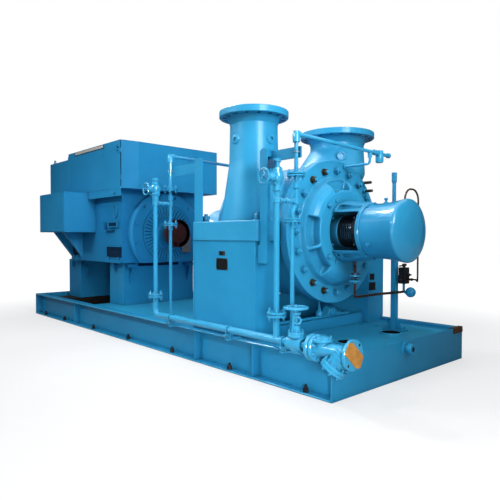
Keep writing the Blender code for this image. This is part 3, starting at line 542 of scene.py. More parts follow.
def cast_skin(body, voxel, passes, stands_for):
    """Gives a body the rounded edges of a sand casting, its paint and its place on the skid."""
    skin = body.modifiers.new("cast_skin", "REMESH")
    skin.mode = "VOXEL"
    skin.voxel_size = voxel
    fillets = body.modifiers.new("cast_fillets", "SMOOTH")
    fillets.factor = 0.5
    fillets.iterations = passes
    bpy.context.view_layer.update()
    mesh = bpy.data.meshes.new_from_object(body.evaluated_get(bpy.context.evaluated_depsgraph_get()))
    body.modifiers.clear()
    body.data = mesh
    mesh.shade_smooth()
    mesh.materials.clear()
    mesh.materials.append(enamel_on_casting)
    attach(body, "skid")
    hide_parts(stands_for)


bm = bmesh.new()
add_turned(bm, [(0, -0.375), (0.615, -0.375), (0.615, 0.375), (0, 0.375)], PUMP_MIDDLE, ALONG, 96)
casting = solid_body("pump_casing_casting", bm)
for side in (-1, 1):
    bm = bmesh.new()
    add_block(bm, (1.230, 1.970), (side * 0.45, side * 0.700), (1.114, 1.280))
    boolean(casting, solid_body("foot", bm), "UNION")
# Each length of neck: its Y, height and radius below, then above.
for low_y, low_z, wide, high_y, high_z, narrow in (
        (-0.58, SHAFT_Z + 0.03, 0.320, DISCHARGE_Y, 1.800, 0.222),
        (DISCHARGE_Y, 1.790, 0.222, DISCHARGE_Y, 2.235, 0.213),
        (0.26, SHAFT_Z + 0.25, 0.363, 0.485, 1.800, 0.363),
        (0.485, 1.790, 0.363, SUCTION_Y, 2.050, 0.279),
        (SUCTION_Y, 2.040, 0.279, SUCTION_Y, 2.205, 0.281)):
    bm = bmesh.new()
    add_leaning_cone(bm, (PUMP_X, low_y, low_z), (PUMP_X, high_y, high_z), wide, narrow)
    boolean(casting, solid_body("neck", bm), "UNION")
for y, z0, radius in ((DISCHARGE_Y, 1.50, 0.170), (SUCTION_Y, 1.70, 0.225)):
    bm = bmesh.new()
    add_turned(bm, [(0, z0), (radius * 0.6, z0), (radius, z0 + 0.14), (radius, 2.4), (0, 2.4)],
               (PUMP_X, y, 0), UP, 64)
    boolean(casting, solid_body("bore", bm), "DIFFERENCE")
cast_skin(casting, 0.013, 12, "pump_casing")

bm = bmesh.new()
for side in (-1, 1):
    add_block(bm, (1.1305, 1.9995), (side * 0.668, side * 0.9345), (1.1103, 1.2825))
make("casing_feet", bm, enamel_on_casting, bevel=0.007)

bm = bmesh.new()
for side in (-1, 1):
    for x in (1.215, 1.915):
        add_nut(bm, (x, side * 0.845, 1.2828), UP, 0.060, 0.020)
make("casing_foot_nuts", bm, enamel_on_casting)


# Nozzle flanges. Weld neck flanges at the top of the casting, each with a turned raised face,
# a drilled bolt circle and the neck's taper below. The throats stay open.
def nozzle_flange(label, y, top, neck, radius, bore, holes, circle):
    """One drilled flange with its raised face and tapered hub."""
    bm = bmesh.new()
    profile = [(bore, top - 0.090), (bore, top), (circle - 0.038, top), (circle - 0.040, top - 0.004),
               (radius - 0.005, top - 0.004), (radius, top - 0.009), (radius, top - 0.059),
               (radius - 0.005, top - 0.064), (neck + 0.045, top - 0.064), (neck + 0.022, top - 0.080),
               (neck + 0.003, top - 0.125), (neck - 0.010, top - 0.135), (bore, top - 0.135),
               (bore, top - 0.090)]
    add_turned(bm, profile, (PUMP_X, y, 0), UP, 96)
    flange = solid_body("flange_blank", bm)
    drills = bmesh.new()
    for along, across in on_circle(circle, evenly(holes, 0.5)):
        add_turned(drills, [(0, 0), (0.0185, 0), (0.0185, 0.2), (0, 0.2)],
                   (PUMP_X + along, y + across, top - 0.1), UP, 16)
    boolean(flange, solid_body("drills", drills), "DIFFERENCE")
    bm = bmesh.new()
    bm.from_mesh(flange.data)
    bpy.data.objects.remove(flange, do_unlink=True)
    make(f"{label}_flange", bm, enamel_on_casting, stands_for=(f"{label}_nozzle",))


nozzle_flange("discharge", DISCHARGE_Y, 2.2699, 0.213, 0.312, 0.169, 16, 0.268)
nozzle_flange("suction", SUCTION_Y, 2.2399, 0.281, 0.385, 0.224, 20, 0.338)


# Tapping bosses. Short bosses cast on the necks and spot faced: two with a sunk plug on the
# discharge neck, and a wider one on the suction neck where it leans back.
bm = bmesh.new()
for out in (Vector((0, -1, 0)), Vector(ALONG)):
    base = Vector((PUMP_X, DISCHARGE_Y, 1.998)) + out * 0.208
    add_turned(bm, [(0.060, -0.020), (0.046, 0.004), (0.041, 0.018), (0.034, 0.022), (0.019, 0.022),
                    (0.016, 0.010), (0, 0.010)], base, out, 32)
add_turned(bm, [(0, 0), (0.050, 0), (0.048, 0.022), (0.040, 0.030), (0.030, 0.030), (0.028, 0.022),
                (0, 0.020)], (1.838, 0.360, 1.950), (0.766, -0.643, 0.05), 32)
make("casing_tapping_bosses", bm, enamel_on_casting, bevel=0.0015)


# Casing covers. Cast discs with a turned bolting ring, cored pockets and a well round the seal
# chamber, pulled up on the barrel by twenty studs each; a few nuts were left bare and browned.
ENDS = (("outboard", 1), ("drive", -1))
COVER_FACE = 0.4605
BARE_NUTS = (3, 4, 16, 17)
BOSS_FACE = 0.588
# Browned studs: mill-oiled alloy steel, a dark brassy brown in 14 mm patches.
browned_steel = mottled("browned_alloy_steel", "#1d1713", "#6d5539", 14.3, 0.45, 0.8)

for label, facing in ENDS:
    bm = bmesh.new()
    add_turned(bm, [(0.410, 0.3755), (0.651, 0.3755), (0.6545, 0.3790), (0.6545, 0.4560), (0.6500, 0.4602),
                    (0.410, 0.4602), (0.410, 0.3755)], PUMP_MIDDLE, (facing, 0, 0), 120)
    make(f"cover_ring_{label}", bm, enamel_on_casting)
    bm = bmesh.new()
    add_turned(bm, [(0.070, 0.390), (0.520, 0.390), (0.520, 0.4570), (0.499, 0.4600), (0.486, 0.480),
                    (0.470, 0.516), (0.440, 0.552), (0.404, 0.578), (0.365, 0.5890), (0.240, 0.5890),
                    (0.240, 0.485), (0.149, 0.485), (0.149, 0.5895), (0.070, 0.5895), (0.070, 0.390)],
               PUMP_MIDDLE, (facing, 0, 0), 96)
    boss = solid_body(f"cover_boss_{label}", bm)
    for middle in (-38, 0, 82, 180, 218):
        sweep = range(middle - 17, middle + 18, 2)
        rim = on_circle(0.468, sweep) + on_circle(0.372, reversed(sweep))
        bm = bmesh.new()
        add_plate(bm, [(PUMP_X + facing * 0.500, -across, SHAFT_Z + up) for across, up in rim],
                  (facing * 0.12, 0, 0))
        boolean(boss, solid_body("pocket", bm), "DIFFERENCE")
    cast_skin(boss, 0.008, 4, f"cover_{label}")


def add_head(bm, place, axis, radius, height, chamfer):
    """A hexagon head or plug with its outer edge chamfered."""
    add_turned(bm, [(0, 0), (radius, 0), (radius, height - chamfer), (radius - chamfer, height), (0, height)],
               place, axis, 6)


painted = bmesh.new()
bare = bmesh.new()
plugs = bmesh.new()
for label, facing in ENDS:
    axis = (facing, 0, 0)
    for index, (across, up) in enumerate(on_circle(0.556, evenly(20))):
        face = Vector((PUMP_X + facing * COVER_FACE, -across, SHAFT_Z + up))
        if index in BARE_NUTS:
            add_nut(bare, face, axis, 0.050, 0.0, 0.034)
            add_turned(painted, [(0.016, 0.0), (0.016, 0.010), (0.012, 0.014), (0, 0.014)],
                       face + Vector(axis) * 0.039, axis, 14)
        else:
            add_nut(painted, face, axis, 0.050, 0.014, 0.038)
    for across, up in on_circle(0.310, (60, 118, 240, 300)):
        add_head(plugs, (PUMP_X + facing * BOSS_FACE, -across, SHAFT_Z + up), axis, 0.017, 0.011, 0.003)
make("cover_nuts", painted, enamel_on_casting)
make("cover_bare_nuts", bare, browned_steel)

studs = bmesh.new()
for across, up in on_circle(0.630, [131]) + on_circle(0.588, [137.5]):
    spot = (PUMP_X + COVER_FACE, -across, SHAFT_Z + up)
    add_nut(plugs, spot, ALONG, 0.034, 0.0, 0.020)
    add_turned(studs, [(0.014, 0.020), (0.014, 0.098), (0.011, 0.102), (0, 0.102)], spot, ALONG, 14)
make("cover_plugs", plugs, enamel_on_casting, bevel=0.001)
make("cover_long_studs", studs, browned_steel)


# Bearing brackets. Each is cast as two ribbed arms between two rings, open each side so that
# the seal can be reached, with cored slots above and below and a hole for a jacking bar.
for label, facing in ENDS:
    bm = bmesh.new()
    add_turned(bm, [(0.207, 0.5915), (0.277, 0.5915), (0.249, 0.8590), (0.207, 0.8590), (0.207, 0.5915)],
               PUMP_MIDDLE, (facing, 0, 0), 96)
    bracket = solid_body(f"bearing_bracket_casting_{label}", bm)
    for (x0, x1), y, (z0, z1) in (((0.560, 0.846), (-0.4, 0.4), (-0.165, 0.165)),
                                  ((0.612, 0.838), (-0.4, -0.122), (0.188, 0.229)),
                                  ((0.612, 0.838), (0.122, 0.4), (0.188, 0.229)),
                                  ((0.660, 0.838), (-0.4, -0.122), (-0.229, -0.192)),
                                  ((0.660, 0.838), (0.122, 0.4), (-0.229, -0.192))):
        bm = bmesh.new()
        add_block(bm, (PUMP_X + facing * x0, PUMP_X + facing * x1), y, (SHAFT_Z + z0, SHAFT_Z + z1))
        boolean(bracket, solid_body("opening", bm), "DIFFERENCE")
    bm = bmesh.new()
    add_turned(bm, [(0, -0.3), (0.013, -0.3), (0.013, 0.3), (0, 0.3)],
               (PUMP_X + facing * 0.622, 0, SHAFT_Z - 0.205), (0, 1, 0), 20)
    boolean(bracket, solid_body("jacking_hole", bm), "DIFFERENCE")
    cast_skin(bracket, 0.006, 3, f"bearing_bracket_{label}")


# Bearing housings. Turned castings bolted to the brackets, which flare out to a domed end cap,
# with a ring of screws at the joint, an oil plug low on the front and a breather on top.

# Enamel on the housings: the same blue on a turned surface, glossy enough for crisp streaks.
enamel_on_housing = blue_enamel("enamel_on_turned_housing", "#2a8fc0", "#329aca", 50, 0.3, 0.32,
                                coat_weight=0.8)
HOUSING = [(0.062, 0.8603), (0.2300, 0.8603), (0.2320, 0.8630), (0.2330, 0.920), (0.2350, 0.980),
           (0.2380, 1.030), (0.2430, 1.080), (0.2500, 1.125), (0.2570, 1.162), (0.2608, 1.184),
           (0.2618, 1.194), (0.2612, 1.201), (0.2585, 1.2070), (0.2520, 1.2135), (0.2400, 1.2205),
           (0.2200, 1.2280), (0.1950, 1.2340), (0.1720, 1.2375), (0.1660, 1.2405), (0.1590, 1.2430),
           (0.1200, 1.2465), (0.0700, 1.2490)]
for label, facing in ENDS:
    bm = bmesh.new()
    end = [(0, 1.2498)] if label == "outboard" else [(0.0665, 1.2495), (0.0665, 1.10)]
    add_turned(bm, HOUSING + end, PUMP_MIDDLE, (facing, 0, 0), 128)
    add_turned(bm, [(0.2455, 0.8605), (0.2455, 0.874), (0.2430, 0.877), (0.2310, 0.877)],
               PUMP_MIDDLE, (facing, 0, 0), 96)
    make(f"bearing_housing_shell_{label}", bm, enamel_on_housing, stands_for=(f"bearing_housing_{label}",))

bm = bmesh.new()
for label, facing in ENDS:
    axis = (facing, 0, 0)
    for across, up in on_circle(0.238, (90, 270, 60, 120, 240, 300)):
        add_turned(bm, [(0, 0), (0.0115, 0), (0.0115, 0.010), (0.009, 0.012), (0, 0.012)],
                   (PUMP_X + facing * 0.877, across, SHAFT_Z + up), axis, 6)
    for y in (-0.262, 0.262):
        for z in (0.222, -0.222):
            add_nut(bm, (PUMP_X + facing * 0.589, y, SHAFT_Z + z), axis, 0.036, 0.008, 0.024)
    for across, up in on_circle(0.190, (38, 90, 142, 218, 270, 322)):
        add_nut(bm, (PUMP_X + facing * 0.486, across, SHAFT_Z + up), axis, 0.036, 0.040, 0.026)
    add_turned(bm, [(0, 0), (0.022, 0), (0.022, 0.010), (0.015, 0.012), (0.015, 0.022), (0.012, 0.024),
                    (0, 0.024)], (PUMP_X + facing * 0.950, -0.204, SHAFT_Z - 0.112), (0, -0.876, -0.481), 24)
    add_turned(bm, [(0, 0), (0.020, 0), (0.020, 0.012), (0.010, 0.016), (0.010, 0.030), (0.016, 0.034),
                    (0.016, 0.046), (0.012, 0.050), (0, 0.050)],
               (PUMP_X + facing * 0.990, 0, SHAFT_Z + 0.230), UP, 20)
make("bearing_housing_fittings", bm, enamel_on_casting, bevel=0.001)


# Mechanical seals. A ground steel cartridge with turned ribs and a dark gland ring, held by
# four socket screws; it shows through the bracket's windows as bright bands on black.

# Turned dark steel: nearly black, with tool marks that catch long highlights. Real marks are
# 0.5 mm apart and these are 5.7 mm apart to show: a wave texture of scale s repeats every
# pi / 10 / s metres.
turned_steel, tree, shader, place = new_finish("turned_seal_steel", 0.22, 0.95)
rings = put(tree, "TexWave", {"Vector": place, "Scale": math.pi / 10 / 0.005712, "Distortion": 0.0},
            bands_direction="X")
sheen = two_tones(tree, rings.outputs["Fac"], "#2a3035", "#7a838a", 0.2, 0.8)
tree.links.new(sheen, shader.inputs["Base Color"])
marks = put(tree, "Bump", {"Height": rings.outputs["Fac"], "Distance": 0.0006, "Strength": 0.6})
tree.links.new(marks.outputs["Normal"], shader.inputs["Normal"])

ribs = [(0.066, 0.5904), (0.1440, 0.5904), (0.1440, 0.612)]
for step in range(7):
    start = 0.616 + step * 0.0200
    ribs += [(0.1340, start), (0.1340, start + 0.004), (0.1440, start + 0.006), (0.1440, start + 0.016)]
ribs += [(0.1300, 0.760), (0.1300, 0.800), (0.1000, 0.812), (0.0980, 0.834), (0.066, 0.834)]
for label, facing in ENDS:
    bm = bmesh.new()
    add_turned(bm, ribs, PUMP_MIDDLE, (facing, 0, 0), 80)
    make(f"seal_cartridge_drum_{label}", bm, turned_steel,
         stands_for=(f"seal_cartridge_{label}",))
    bm = bmesh.new()
    add_turned(bm, [(0.128, 0.757), (0.168, 0.757), (0.1715, 0.761), (0.1715, 0.800), (0.168, 0.804),
                    (0.128, 0.804), (0.128, 0.757)], PUMP_MIDDLE, (facing, 0, 0), 64)
    make(f"seal_gland_ring_{label}", bm, black_oxide)
bm = bmesh.new()
for label, facing in ENDS:
    for across, up in on_circle(0.155, (48, 132, 228, 312)):
        add_turned(bm, [(0, 0), (0.0085, 0), (0.0095, 0.002), (0.0095, 0.018), (0, 0.018)],
                   (PUMP_X + facing * 0.7385, across, SHAFT_Z + up), (facing, 0, 0), 16)
make("seal_gland_screws", bm, zinc_plate)


# Shafts and coupling halves. Ground carbon steel on the pump, dark red oxide on the motor's
# hub; each hub flange carries a ring of bolts and is recessed for a spigot.

# Ground steel: bright grey with circular grinding marks, drawn 4 mm apart to show.
ground_steel, tree, shader, place = new_finish("ground_shaft_steel", 0.28, 1.0)
grind = put(tree, "TexWave", {"Vector": place, "Scale": math.pi / 10 / 0.003927, "Distortion": 1.5,
                              "Detail": 2.0}, bands_direction="X")
sheen = two_tones(tree, grind.outputs["Fac"], "#7d8286", "#a9adb0", 0.2, 0.8)
tree.links.new(sheen, shader.inputs["Base Color"])
# Red oxide primer: dull brownish red, brushed on thinly over the turned hub, in 30 mm streaks; made far
# darker than the primer's own red as painted shade from the hood.
shade_dark_red = mottled("dark_red_primer_painted_shade", "#260705", "#48100c", 28.6, 0.5, detail=5.0, ragged=0.65,
                    relief=0.8, strength=0.8)


def coupling_half(name, x, facing, material, body):
    """A hub flange with a ring of nuts behind it and a recess in its face."""
    bm = bmesh.new()
    add_turned(bm, [(0.096, 0.030), (0.176, 0.030), (0.1795, 0.034), (0.1795, 0.055), (0.176, 0.0595),
                    (0.128, 0.0595), (0.126, 0.0560), (0.062, 0.0560)], (x, 0, SHAFT_Z), (facing, 0, 0), 72)
    for across, up in on_circle(0.152, evenly(8, 0.5)):
        add_nut(bm, (x + facing * 0.030, across, SHAFT_Z + up), (-facing, 0, 0), 0.024, 0.006, 0.014)
    make(name, bm, material, body)


coat(ground_steel, "pump_rotor")
coat(shade_dark_red, "motor_rotor")
coupling_half("pump_hub_face", 0.2195, -1, ground_steel, "pump_rotor")
coupling_half("motor_hub_face", -0.5295, 1, shade_dark_red, "motor_rotor")
bm = bmesh.new()
add_turned(bm, [(0.064, -0.1320), (0.0940, -0.1320), (0.0965, -0.1295), (0.0965, 0.0), (0.064, 0.0)],
           (-0.5305, 0, SHAFT_Z), ALONG, 48)
make("motor_hub_sleeve", bm, browned_steel, "motor_rotor")


# Motor end shields. Castings that close the drum at both ends, each with a ring of radial air
# slots and vanes round its bearing, bolted on round the edge and round the bearing's cap.
SHIELD_FACES = ((1, -0.730), (-1, -2.640))
# Enamel on the motor's plate: matt, over 90 mm ripples, with painted shade that darkens it up to 200 mm from
# where the plates meet.
enamel_on_motor = blue_enamel("enamel_on_motor_plate", "#1c7bb2", "#2287be", 90, 1.0, 0.45,
                              coat_weight=0.05, reach=200)
coat(enamel_on_motor, "motor_end_shield")
# Painted shade: a dark blue for the insides of slots, recesses and bolt holes, which hardly any light
# reaches; the hood's gasket is the same dark blue.
shade_and_gasket_dark = mottled("shade_and_gasket_dark_blue", "#031a30", "#08304f", 33.3, 0.9, specular=0.15)

louvres = bmesh.new()
slot_shade_ring = bmesh.new()
bolts = bmesh.new()
for end, face in SHIELD_FACES:
    axis = (end, 0, 0)
    middle = (face, 0, SHAFT_Z)
    # Painted shade: a dark ring behind the vanes fills the slots between them.
    add_turned(slot_shade_ring, [(0.236, 0.0002), (0.352, 0.0002), (0.352, 0.0032), (0.236, 0.0032), (0.236, 0.0002)],
               middle, axis, 72)
    for across, up in on_circle(1, evenly(44)):
        out = Vector((0, across, up))
        side = Vector((0, -up, across))
        inner = Vector((face + end * 0.0015, 0, SHAFT_Z)) + out * 0.232
        outer = inner + out * 0.124
        add_plate(louvres, [inner - side * 0.012, outer - side * 0.020, outer + side * 0.020,
                            inner + side * 0.012], (end * 0.0105, 0, 0))
    add_turned(louvres, [(0.226, 0), (0.226, 0.018), (0.238, 0.018), (0.238, 0)], middle, axis, 72)
    add_turned(louvres, [(0.350, 0), (0.350, 0.014), (0.364, 0.014), (0.366, 0)], middle, axis, 72)
    for across, up in on_circle(0.480, evenly(12, 0.5)):
        if up > -0.288:
            add_nut(bolts, (face + end * 0.0101, across, SHAFT_Z + up), axis, 0.036, 0.0, 0.022)
    for across, up in on_circle(0.128, evenly(8, 0.5)):
        add_head(bolts, (face + end * 0.0302, across, SHAFT_Z + up), axis, 0.012, 0.010, 0.002)
make("motor_air_slot_shade", slot_shade_ring, shade_and_gasket_dark)
make("motor_air_vanes", louvres, enamel_on_motor, bevel=0.0015)
make("motor_shield_bolts", bolts, enamel_on_motor)


# Motor frame and pedestals. A welded plate box on two cross beams of plate, with hand-holes, a
# cable entry and an oval cover on each side, jacking brackets and a guard plate by the shaft.
FRAME_SIDE = 0.6255
FRAME_FOOT = 0.8135
PEDESTAL_FOOT = 0.268
PEDESTAL_SPANS = ((-1.27, -0.915), (-2.585, -2.20))
# Both pedestals are welded plate; the far one takes the motor's darker enamel with deeper painted shade, the
# near one the plate's lighter enamel.
coat(enamel_on_motor, "motor_frame", "motor_pedestal_far")
coat(enamel_on_plate, "motor_pedestal_near")


def oval(middle, half_x, half_z, sides=36):
    """Corner points of an upright oval in a plane of constant Y."""
    x, y, z = middle
    return [(x + half_x * along, y, z + half_z * up) for along, up in on_circle(1, evenly(sides))]


frame_trim = bmesh.new()
# Painted shade: thin dark sheets in the bracket's recess, in the foot pockets and on the near pedestal under
# the frame.
frame_shade = bmesh.new()
for side in (-1, 1):
    y = side * FRAME_SIDE
    ring = oval((-0.960, y + side * 0.006, 1.472), 0.052, 0.074)
    add_tube(frame_trim, ring + [ring[0]], 0.009, 10)
    add_plate(frame_trim, oval((-0.960, y, 1.472), 0.046, 0.068), (0, side * 0.003, 0))
    add_block(frame_trim, (-1.215, -0.985), (y, y + side * 0.045), (1.230, 1.238))
    add_block(frame_trim, (-1.215, -1.207), (y, y + side * 0.045), (1.230, 1.342))
    add_block(frame_trim, (-1.130, -0.870), (y, y + side * 0.028), (1.268, 1.345))
    add_block(frame_shade, (-1.100, -0.900), (y + side * 0.028, y + side * 0.029), (1.285, 1.330))
    for x0, x1 in ((-1.205, -0.808), (-2.27, -2.02)):
        add_block(frame_shade, (x0, x1), (y, y + side * 0.002), (0.884, 1.018))
        add_block(frame_trim, (x0, x1), (y, y + side * 0.026), (0.8152, 0.852))
        add_block(frame_trim, (x0, x1), (y, y + side * 0.018), (1.018, 1.028))
        for x in (x0 + 0.07, x1 - 0.07):
            add_nut(frame_trim, (x, y + side * 0.013, 0.8525), UP, 0.030, 0.014)
add_block(frame_shade, (-0.9148, -0.9138), (-0.330, 0.300), (0.765, 0.808))
make("motor_frame_trim", frame_trim, enamel_on_motor, bevel=0.002)
make("motor_frame_recess_shade", frame_shade, shade_and_gasket_dark)

bm = bmesh.new()
for x in (-0.9148, -2.1998):
    for y in (-0.450, 0.450):
        add_block(bm, (x, x + 0.075), (y - 0.070, y + 0.070), (0.752, 0.796))
        add_plate(bm, [(x, y - 0.010, 0.540), (x, y - 0.010, 0.753), (x + 0.070, y - 0.010, 0.753),
                       (x + 0.070, y - 0.010, 0.730)], (0, 0.020, 0))
for side in (-1, 1):
    y = side * 0.5442
    for x in (-1.10, -2.40):
        add_block(bm, (x - 0.028, x + 0.028), (y, y + side * 0.055), (0.735, 0.790))
        add_tube(bm, [(x, y + side * 0.030, 0.790), (x, y + side * 0.030, FRAME_FOOT)], 0.010, 12)
        add_nut(bm, (x, y + side * 0.030, 0.7345), (0, 0, -1), 0.024, 0.030)
make("motor_jack_brackets", bm, enamel_on_motor, bevel=0.002)

bm = bmesh.new()
for ends in PEDESTAL_SPANS:
    for x in ends:
        for y in (-0.544, 0.544):
            add_tube(bm, [(x, y, PEDESTAL_FOOT), (x, y, 0.812)], 0.006, 10)
        add_tube(bm, [(x, -0.544, PEDESTAL_FOOT), (x, 0.544, PEDESTAL_FOOT)], 0.007, 10)
make("motor_pedestal_welds", bm, enamel_on_plate)

bm = bmesh.new()
add_block(bm, (-0.6985, -0.6955), (0.205, 0.352), (0.942, 1.165))
make("motor_bare_guard_plate", bm, zinc_plate, bevel=0.001)


# Motor hood. Folded sheet over the cooler and the air ducts: a tall box with a chamfered
# corner, a lower box behind it, seams, a hinge, lifting rings and a bare strip on the edge.
HOOD_SIDE = 0.7345
HOOD_FRONT = -0.6005
HOOD_STEP = -2.15
# Enamel on sheet: rolled flat, so only broad shallow waves 600 mm long show.
enamel_on_sheet = blue_enamel("enamel_on_sheet", "#2386ba", "#2a90c6", 600, 5.0, 0.42,
                              coat_weight=0.05, reach=120)
# Bare aluminium: a pale matt strip, faintly grained, drawn 11 mm wide to show.
bare_aluminium = mottled("bare_aluminium", "#b3b5b2", "#d3d4cf", 11.1, 0.6, 0.25, detail=2.0)
coat(enamel_on_sheet, "motor_hood")

bm = bmesh.new()
for z in (1.7445, 2.3235):
    add_tube(bm, [(HOOD_STEP, -HOOD_SIDE, z), (-0.63, -HOOD_SIDE, z), (HOOD_FRONT, -0.495, z),
                  (HOOD_FRONT, HOOD_SIDE, z), (HOOD_STEP, HOOD_SIDE, z)], 0.0035, 8)
add_tube(bm, [(-1.515, -HOOD_SIDE, 1.6505), (-0.634, -HOOD_SIDE, 1.6505)], 0.003, 8)
for y in (-HOOD_SIDE, HOOD_SIDE):
    add_tube(bm, [(HOOD_STEP, y, 1.746), (HOOD_STEP, y, 2.322)], 0.003, 8)
make("hood_seams", bm, enamel_on_sheet)

bm = bmesh.new()
for z in (1.872, 2.195):
    add_tube(bm, [(-0.618, -0.7290, z - 0.030), (-0.618, -0.7290, z + 0.030)], 0.010, 14)
    add_block(bm, (-0.690, -0.622), (-0.7385, -HOOD_SIDE), (z - 0.026, z + 0.026))
for side, lug in ((-1, -0.800), (1, -1.400)):
    for z in (2.205, 2.245):
        add_block(bm, (-0.712, -0.668), (side * HOOD_SIDE, side * 0.7480), (z, z + 0.020))
        add_turned(bm, [(0.019, 0), (0.019, 0.010), (0.010, 0.010), (0.010, 0)],
                   (-0.690, side * 0.7480, z + 0.010), (0, side, 0), 20)
    add_block(bm, (lug, lug + 0.045), (side * HOOD_SIDE, side * 0.7560), (1.680, 1.696))
for x in (-1.10, -1.75):
    for z in (1.86, 2.20):
        add_turned(bm, [(0, 0), (0.012, 0), (0.010, 0.006), (0, 0.007)], (x, -0.735, z), (0, -1, 0), 16)
make("hood_hinges_and_lugs", bm, enamel_on_sheet, bevel=0.001)

bm = bmesh.new()
for x in (-2.205, -2.72):
    for y in (-0.705, 0.705):
        ring = oval((x, y, 2.276), 0.026, 0.026, 20)
        add_tube(bm, ring + [ring[0]], 0.007, 10)
        add_turned(bm, [(0.024, 0), (0.024, 0.006), (0.012, 0.012), (0, 0.012)], (x, y, 2.2503),
                   UP, 20)
make("hood_lifting_rings", bm, enamel_on_sheet)

bm = bmesh.new()
add_block(bm, (-1.94, -1.05), (-0.7372, -0.7350), (2.272, 2.3245))
add_tube(bm, [(-0.6165, -HOOD_SIDE, 1.762), (-0.6165, -HOOD_SIDE, 2.312)], 0.0045, 8)
make("hood_edge_gasket", bm, shade_and_gasket_dark)
bm = bmesh.new()
add_block(bm, (-1.92, -1.07), (-0.7392, -0.7372), (2.282, 2.3180))
make("hood_bare_strip", bm, bare_aluminium, bevel=0.0005)


# Terminal box. A folded steel case on the motor's side, with seams along its end and a lid on
# the front that is held by six hexagon screws.
LID_Y = -1.0665
coat(enamel_on_sheet, "terminal_box")

bm = bmesh.new()
add_block(bm, (-2.362, -1.538), (LID_Y, -1.0602), (1.220, 1.727))
for z in (1.214, 1.733):
    add_tube(bm, [(-1.5305, -1.06, z), (-1.5305, -0.63, z)], 0.004, 8)
for x in (-2.34, -1.95, -1.56):
    for z in (1.242, 1.705):
        add_head(bm, (x, LID_Y, z), (0, -1, 0), 0.010, 0.007, 0.002)
make("terminal_box_lid", bm, enamel_on_sheet, bevel=0.002)


# Cooling water header. Screwed steel pipe along the front of the skid, held by U-bolts on small
# plate feet, with bolted flanges under both risers.
HEADER_Y = -1.06
HEADER_Z = 0.385
PIPE_X = (0.683, 2.345)
HALF_CIRCLE = range(0, 181, 15)
# Enamel on pipe: thick brushed coats, in 20 mm ripples, that round off threads and edges.
enamel_on_pipe = blue_enamel("enamel_on_pipe", "#2b97c6", "#38a2d0", 20, 0.4, 0.30, 2, coat_weight=0.7)
coat(enamel_on_pipe, "water_header", "riser_drive", "riser_outboard", "branch_pipe_drive",
     "branch_pipe_outboard", "inlet_strainer")

bm = bmesh.new()
for x in PIPE_X:
    for along, across in on_circle(0.052, evenly(4, 0.5)):
        for z, up in ((0.5925, 1), (0.5515, -1)):
            add_nut(bm, (x + along, HEADER_Y + across, z), (0, 0, up), 0.022, 0.012, 0.014)
make("riser_flange_bolts", bm, enamel_on_pipe)

bm = bmesh.new()
for x in (0.95, 1.80, 2.42):
    bow = [(x, HEADER_Y + across, HEADER_Z + up) for across, up in on_circle(0.034, HALF_CIRCLE)]
    add_tube(bm, [(x, HEADER_Y + 0.034, 0.352)] + bow + [(x, HEADER_Y - 0.034, 0.352)], 0.005, 10)
    add_block(bm, (x - 0.018, x + 0.018), (HEADER_Y - 0.046, HEADER_Y + 0.046), (0.345, 0.352))
    for y in (-0.034, 0.034):
        add_nut(bm, (x, HEADER_Y + y, 0.345), (0, 0, -1), 0.013, 0.006)
make("header_u_bolts", bm, enamel_on_pipe)


# Inlet valve. A gate valve in the header: round bonnet flanges held by four bolts, two yoke
# arms that lean in to the spindle's bush, and a small ring hung on them.
INLET_X = 2.54
bm = bmesh.new()
bonnet = (INLET_X, HEADER_Y, 0.0)
add_turned(bm, [(0.030, 0.330), (0.044, 0.345), (0.050, 0.372), (0.050, 0.400), (0.040, 0.420),
                (0.036, 0.428), (0.058, 0.432), (0.060, 0.436), (0.060, 0.448), (0.058, 0.4495),
                (0.058, 0.4515), (0.060, 0.453), (0.060, 0.466), (0.057, 0.469), (0.036, 0.472),
                (0.030, 0.492), (0.020, 0.500), (0.020, 0.516), (0.012, 0.520)], bonnet, UP, 36)
add_turned(bm, [(0.040, -0.070), (0.052, -0.066), (0.052, 0.066), (0.040, 0.070)],
           (INLET_X, HEADER_Y, HEADER_Z), ALONG, 32)
for side in (-1, 1):
    add_plate(bm, [(INLET_X - 0.009, HEADER_Y + side * out, z)
                   for out, z in ((0.030, 0.470), (0.040, 0.470), (0.028, 0.600), (0.018, 0.600))],
              (0.018, 0, 0))
add_turned(bm, [(0.0125, 0.592), (0.034, 0.592), (0.034, 0.610), (0.0125, 0.610)], bonnet, UP, 24)
add_turned(bm, [(0.019, -0.010), (0.031, -0.010), (0.033, 0.0), (0.031, 0.010), (0.019, 0.010),
                (0.019, -0.010)], (INLET_X + 0.012, HEADER_Y, 0.552), (0.74, -0.67, 0), 32)
for along, across in on_circle(0.046, evenly(4, 0.5)):
    add_nut(bm, (INLET_X + along, HEADER_Y + across, 0.469), UP, 0.016, 0.008, 0.011)
make("inlet_valve_yoke", bm, enamel_on_pipe, bevel=0.001)


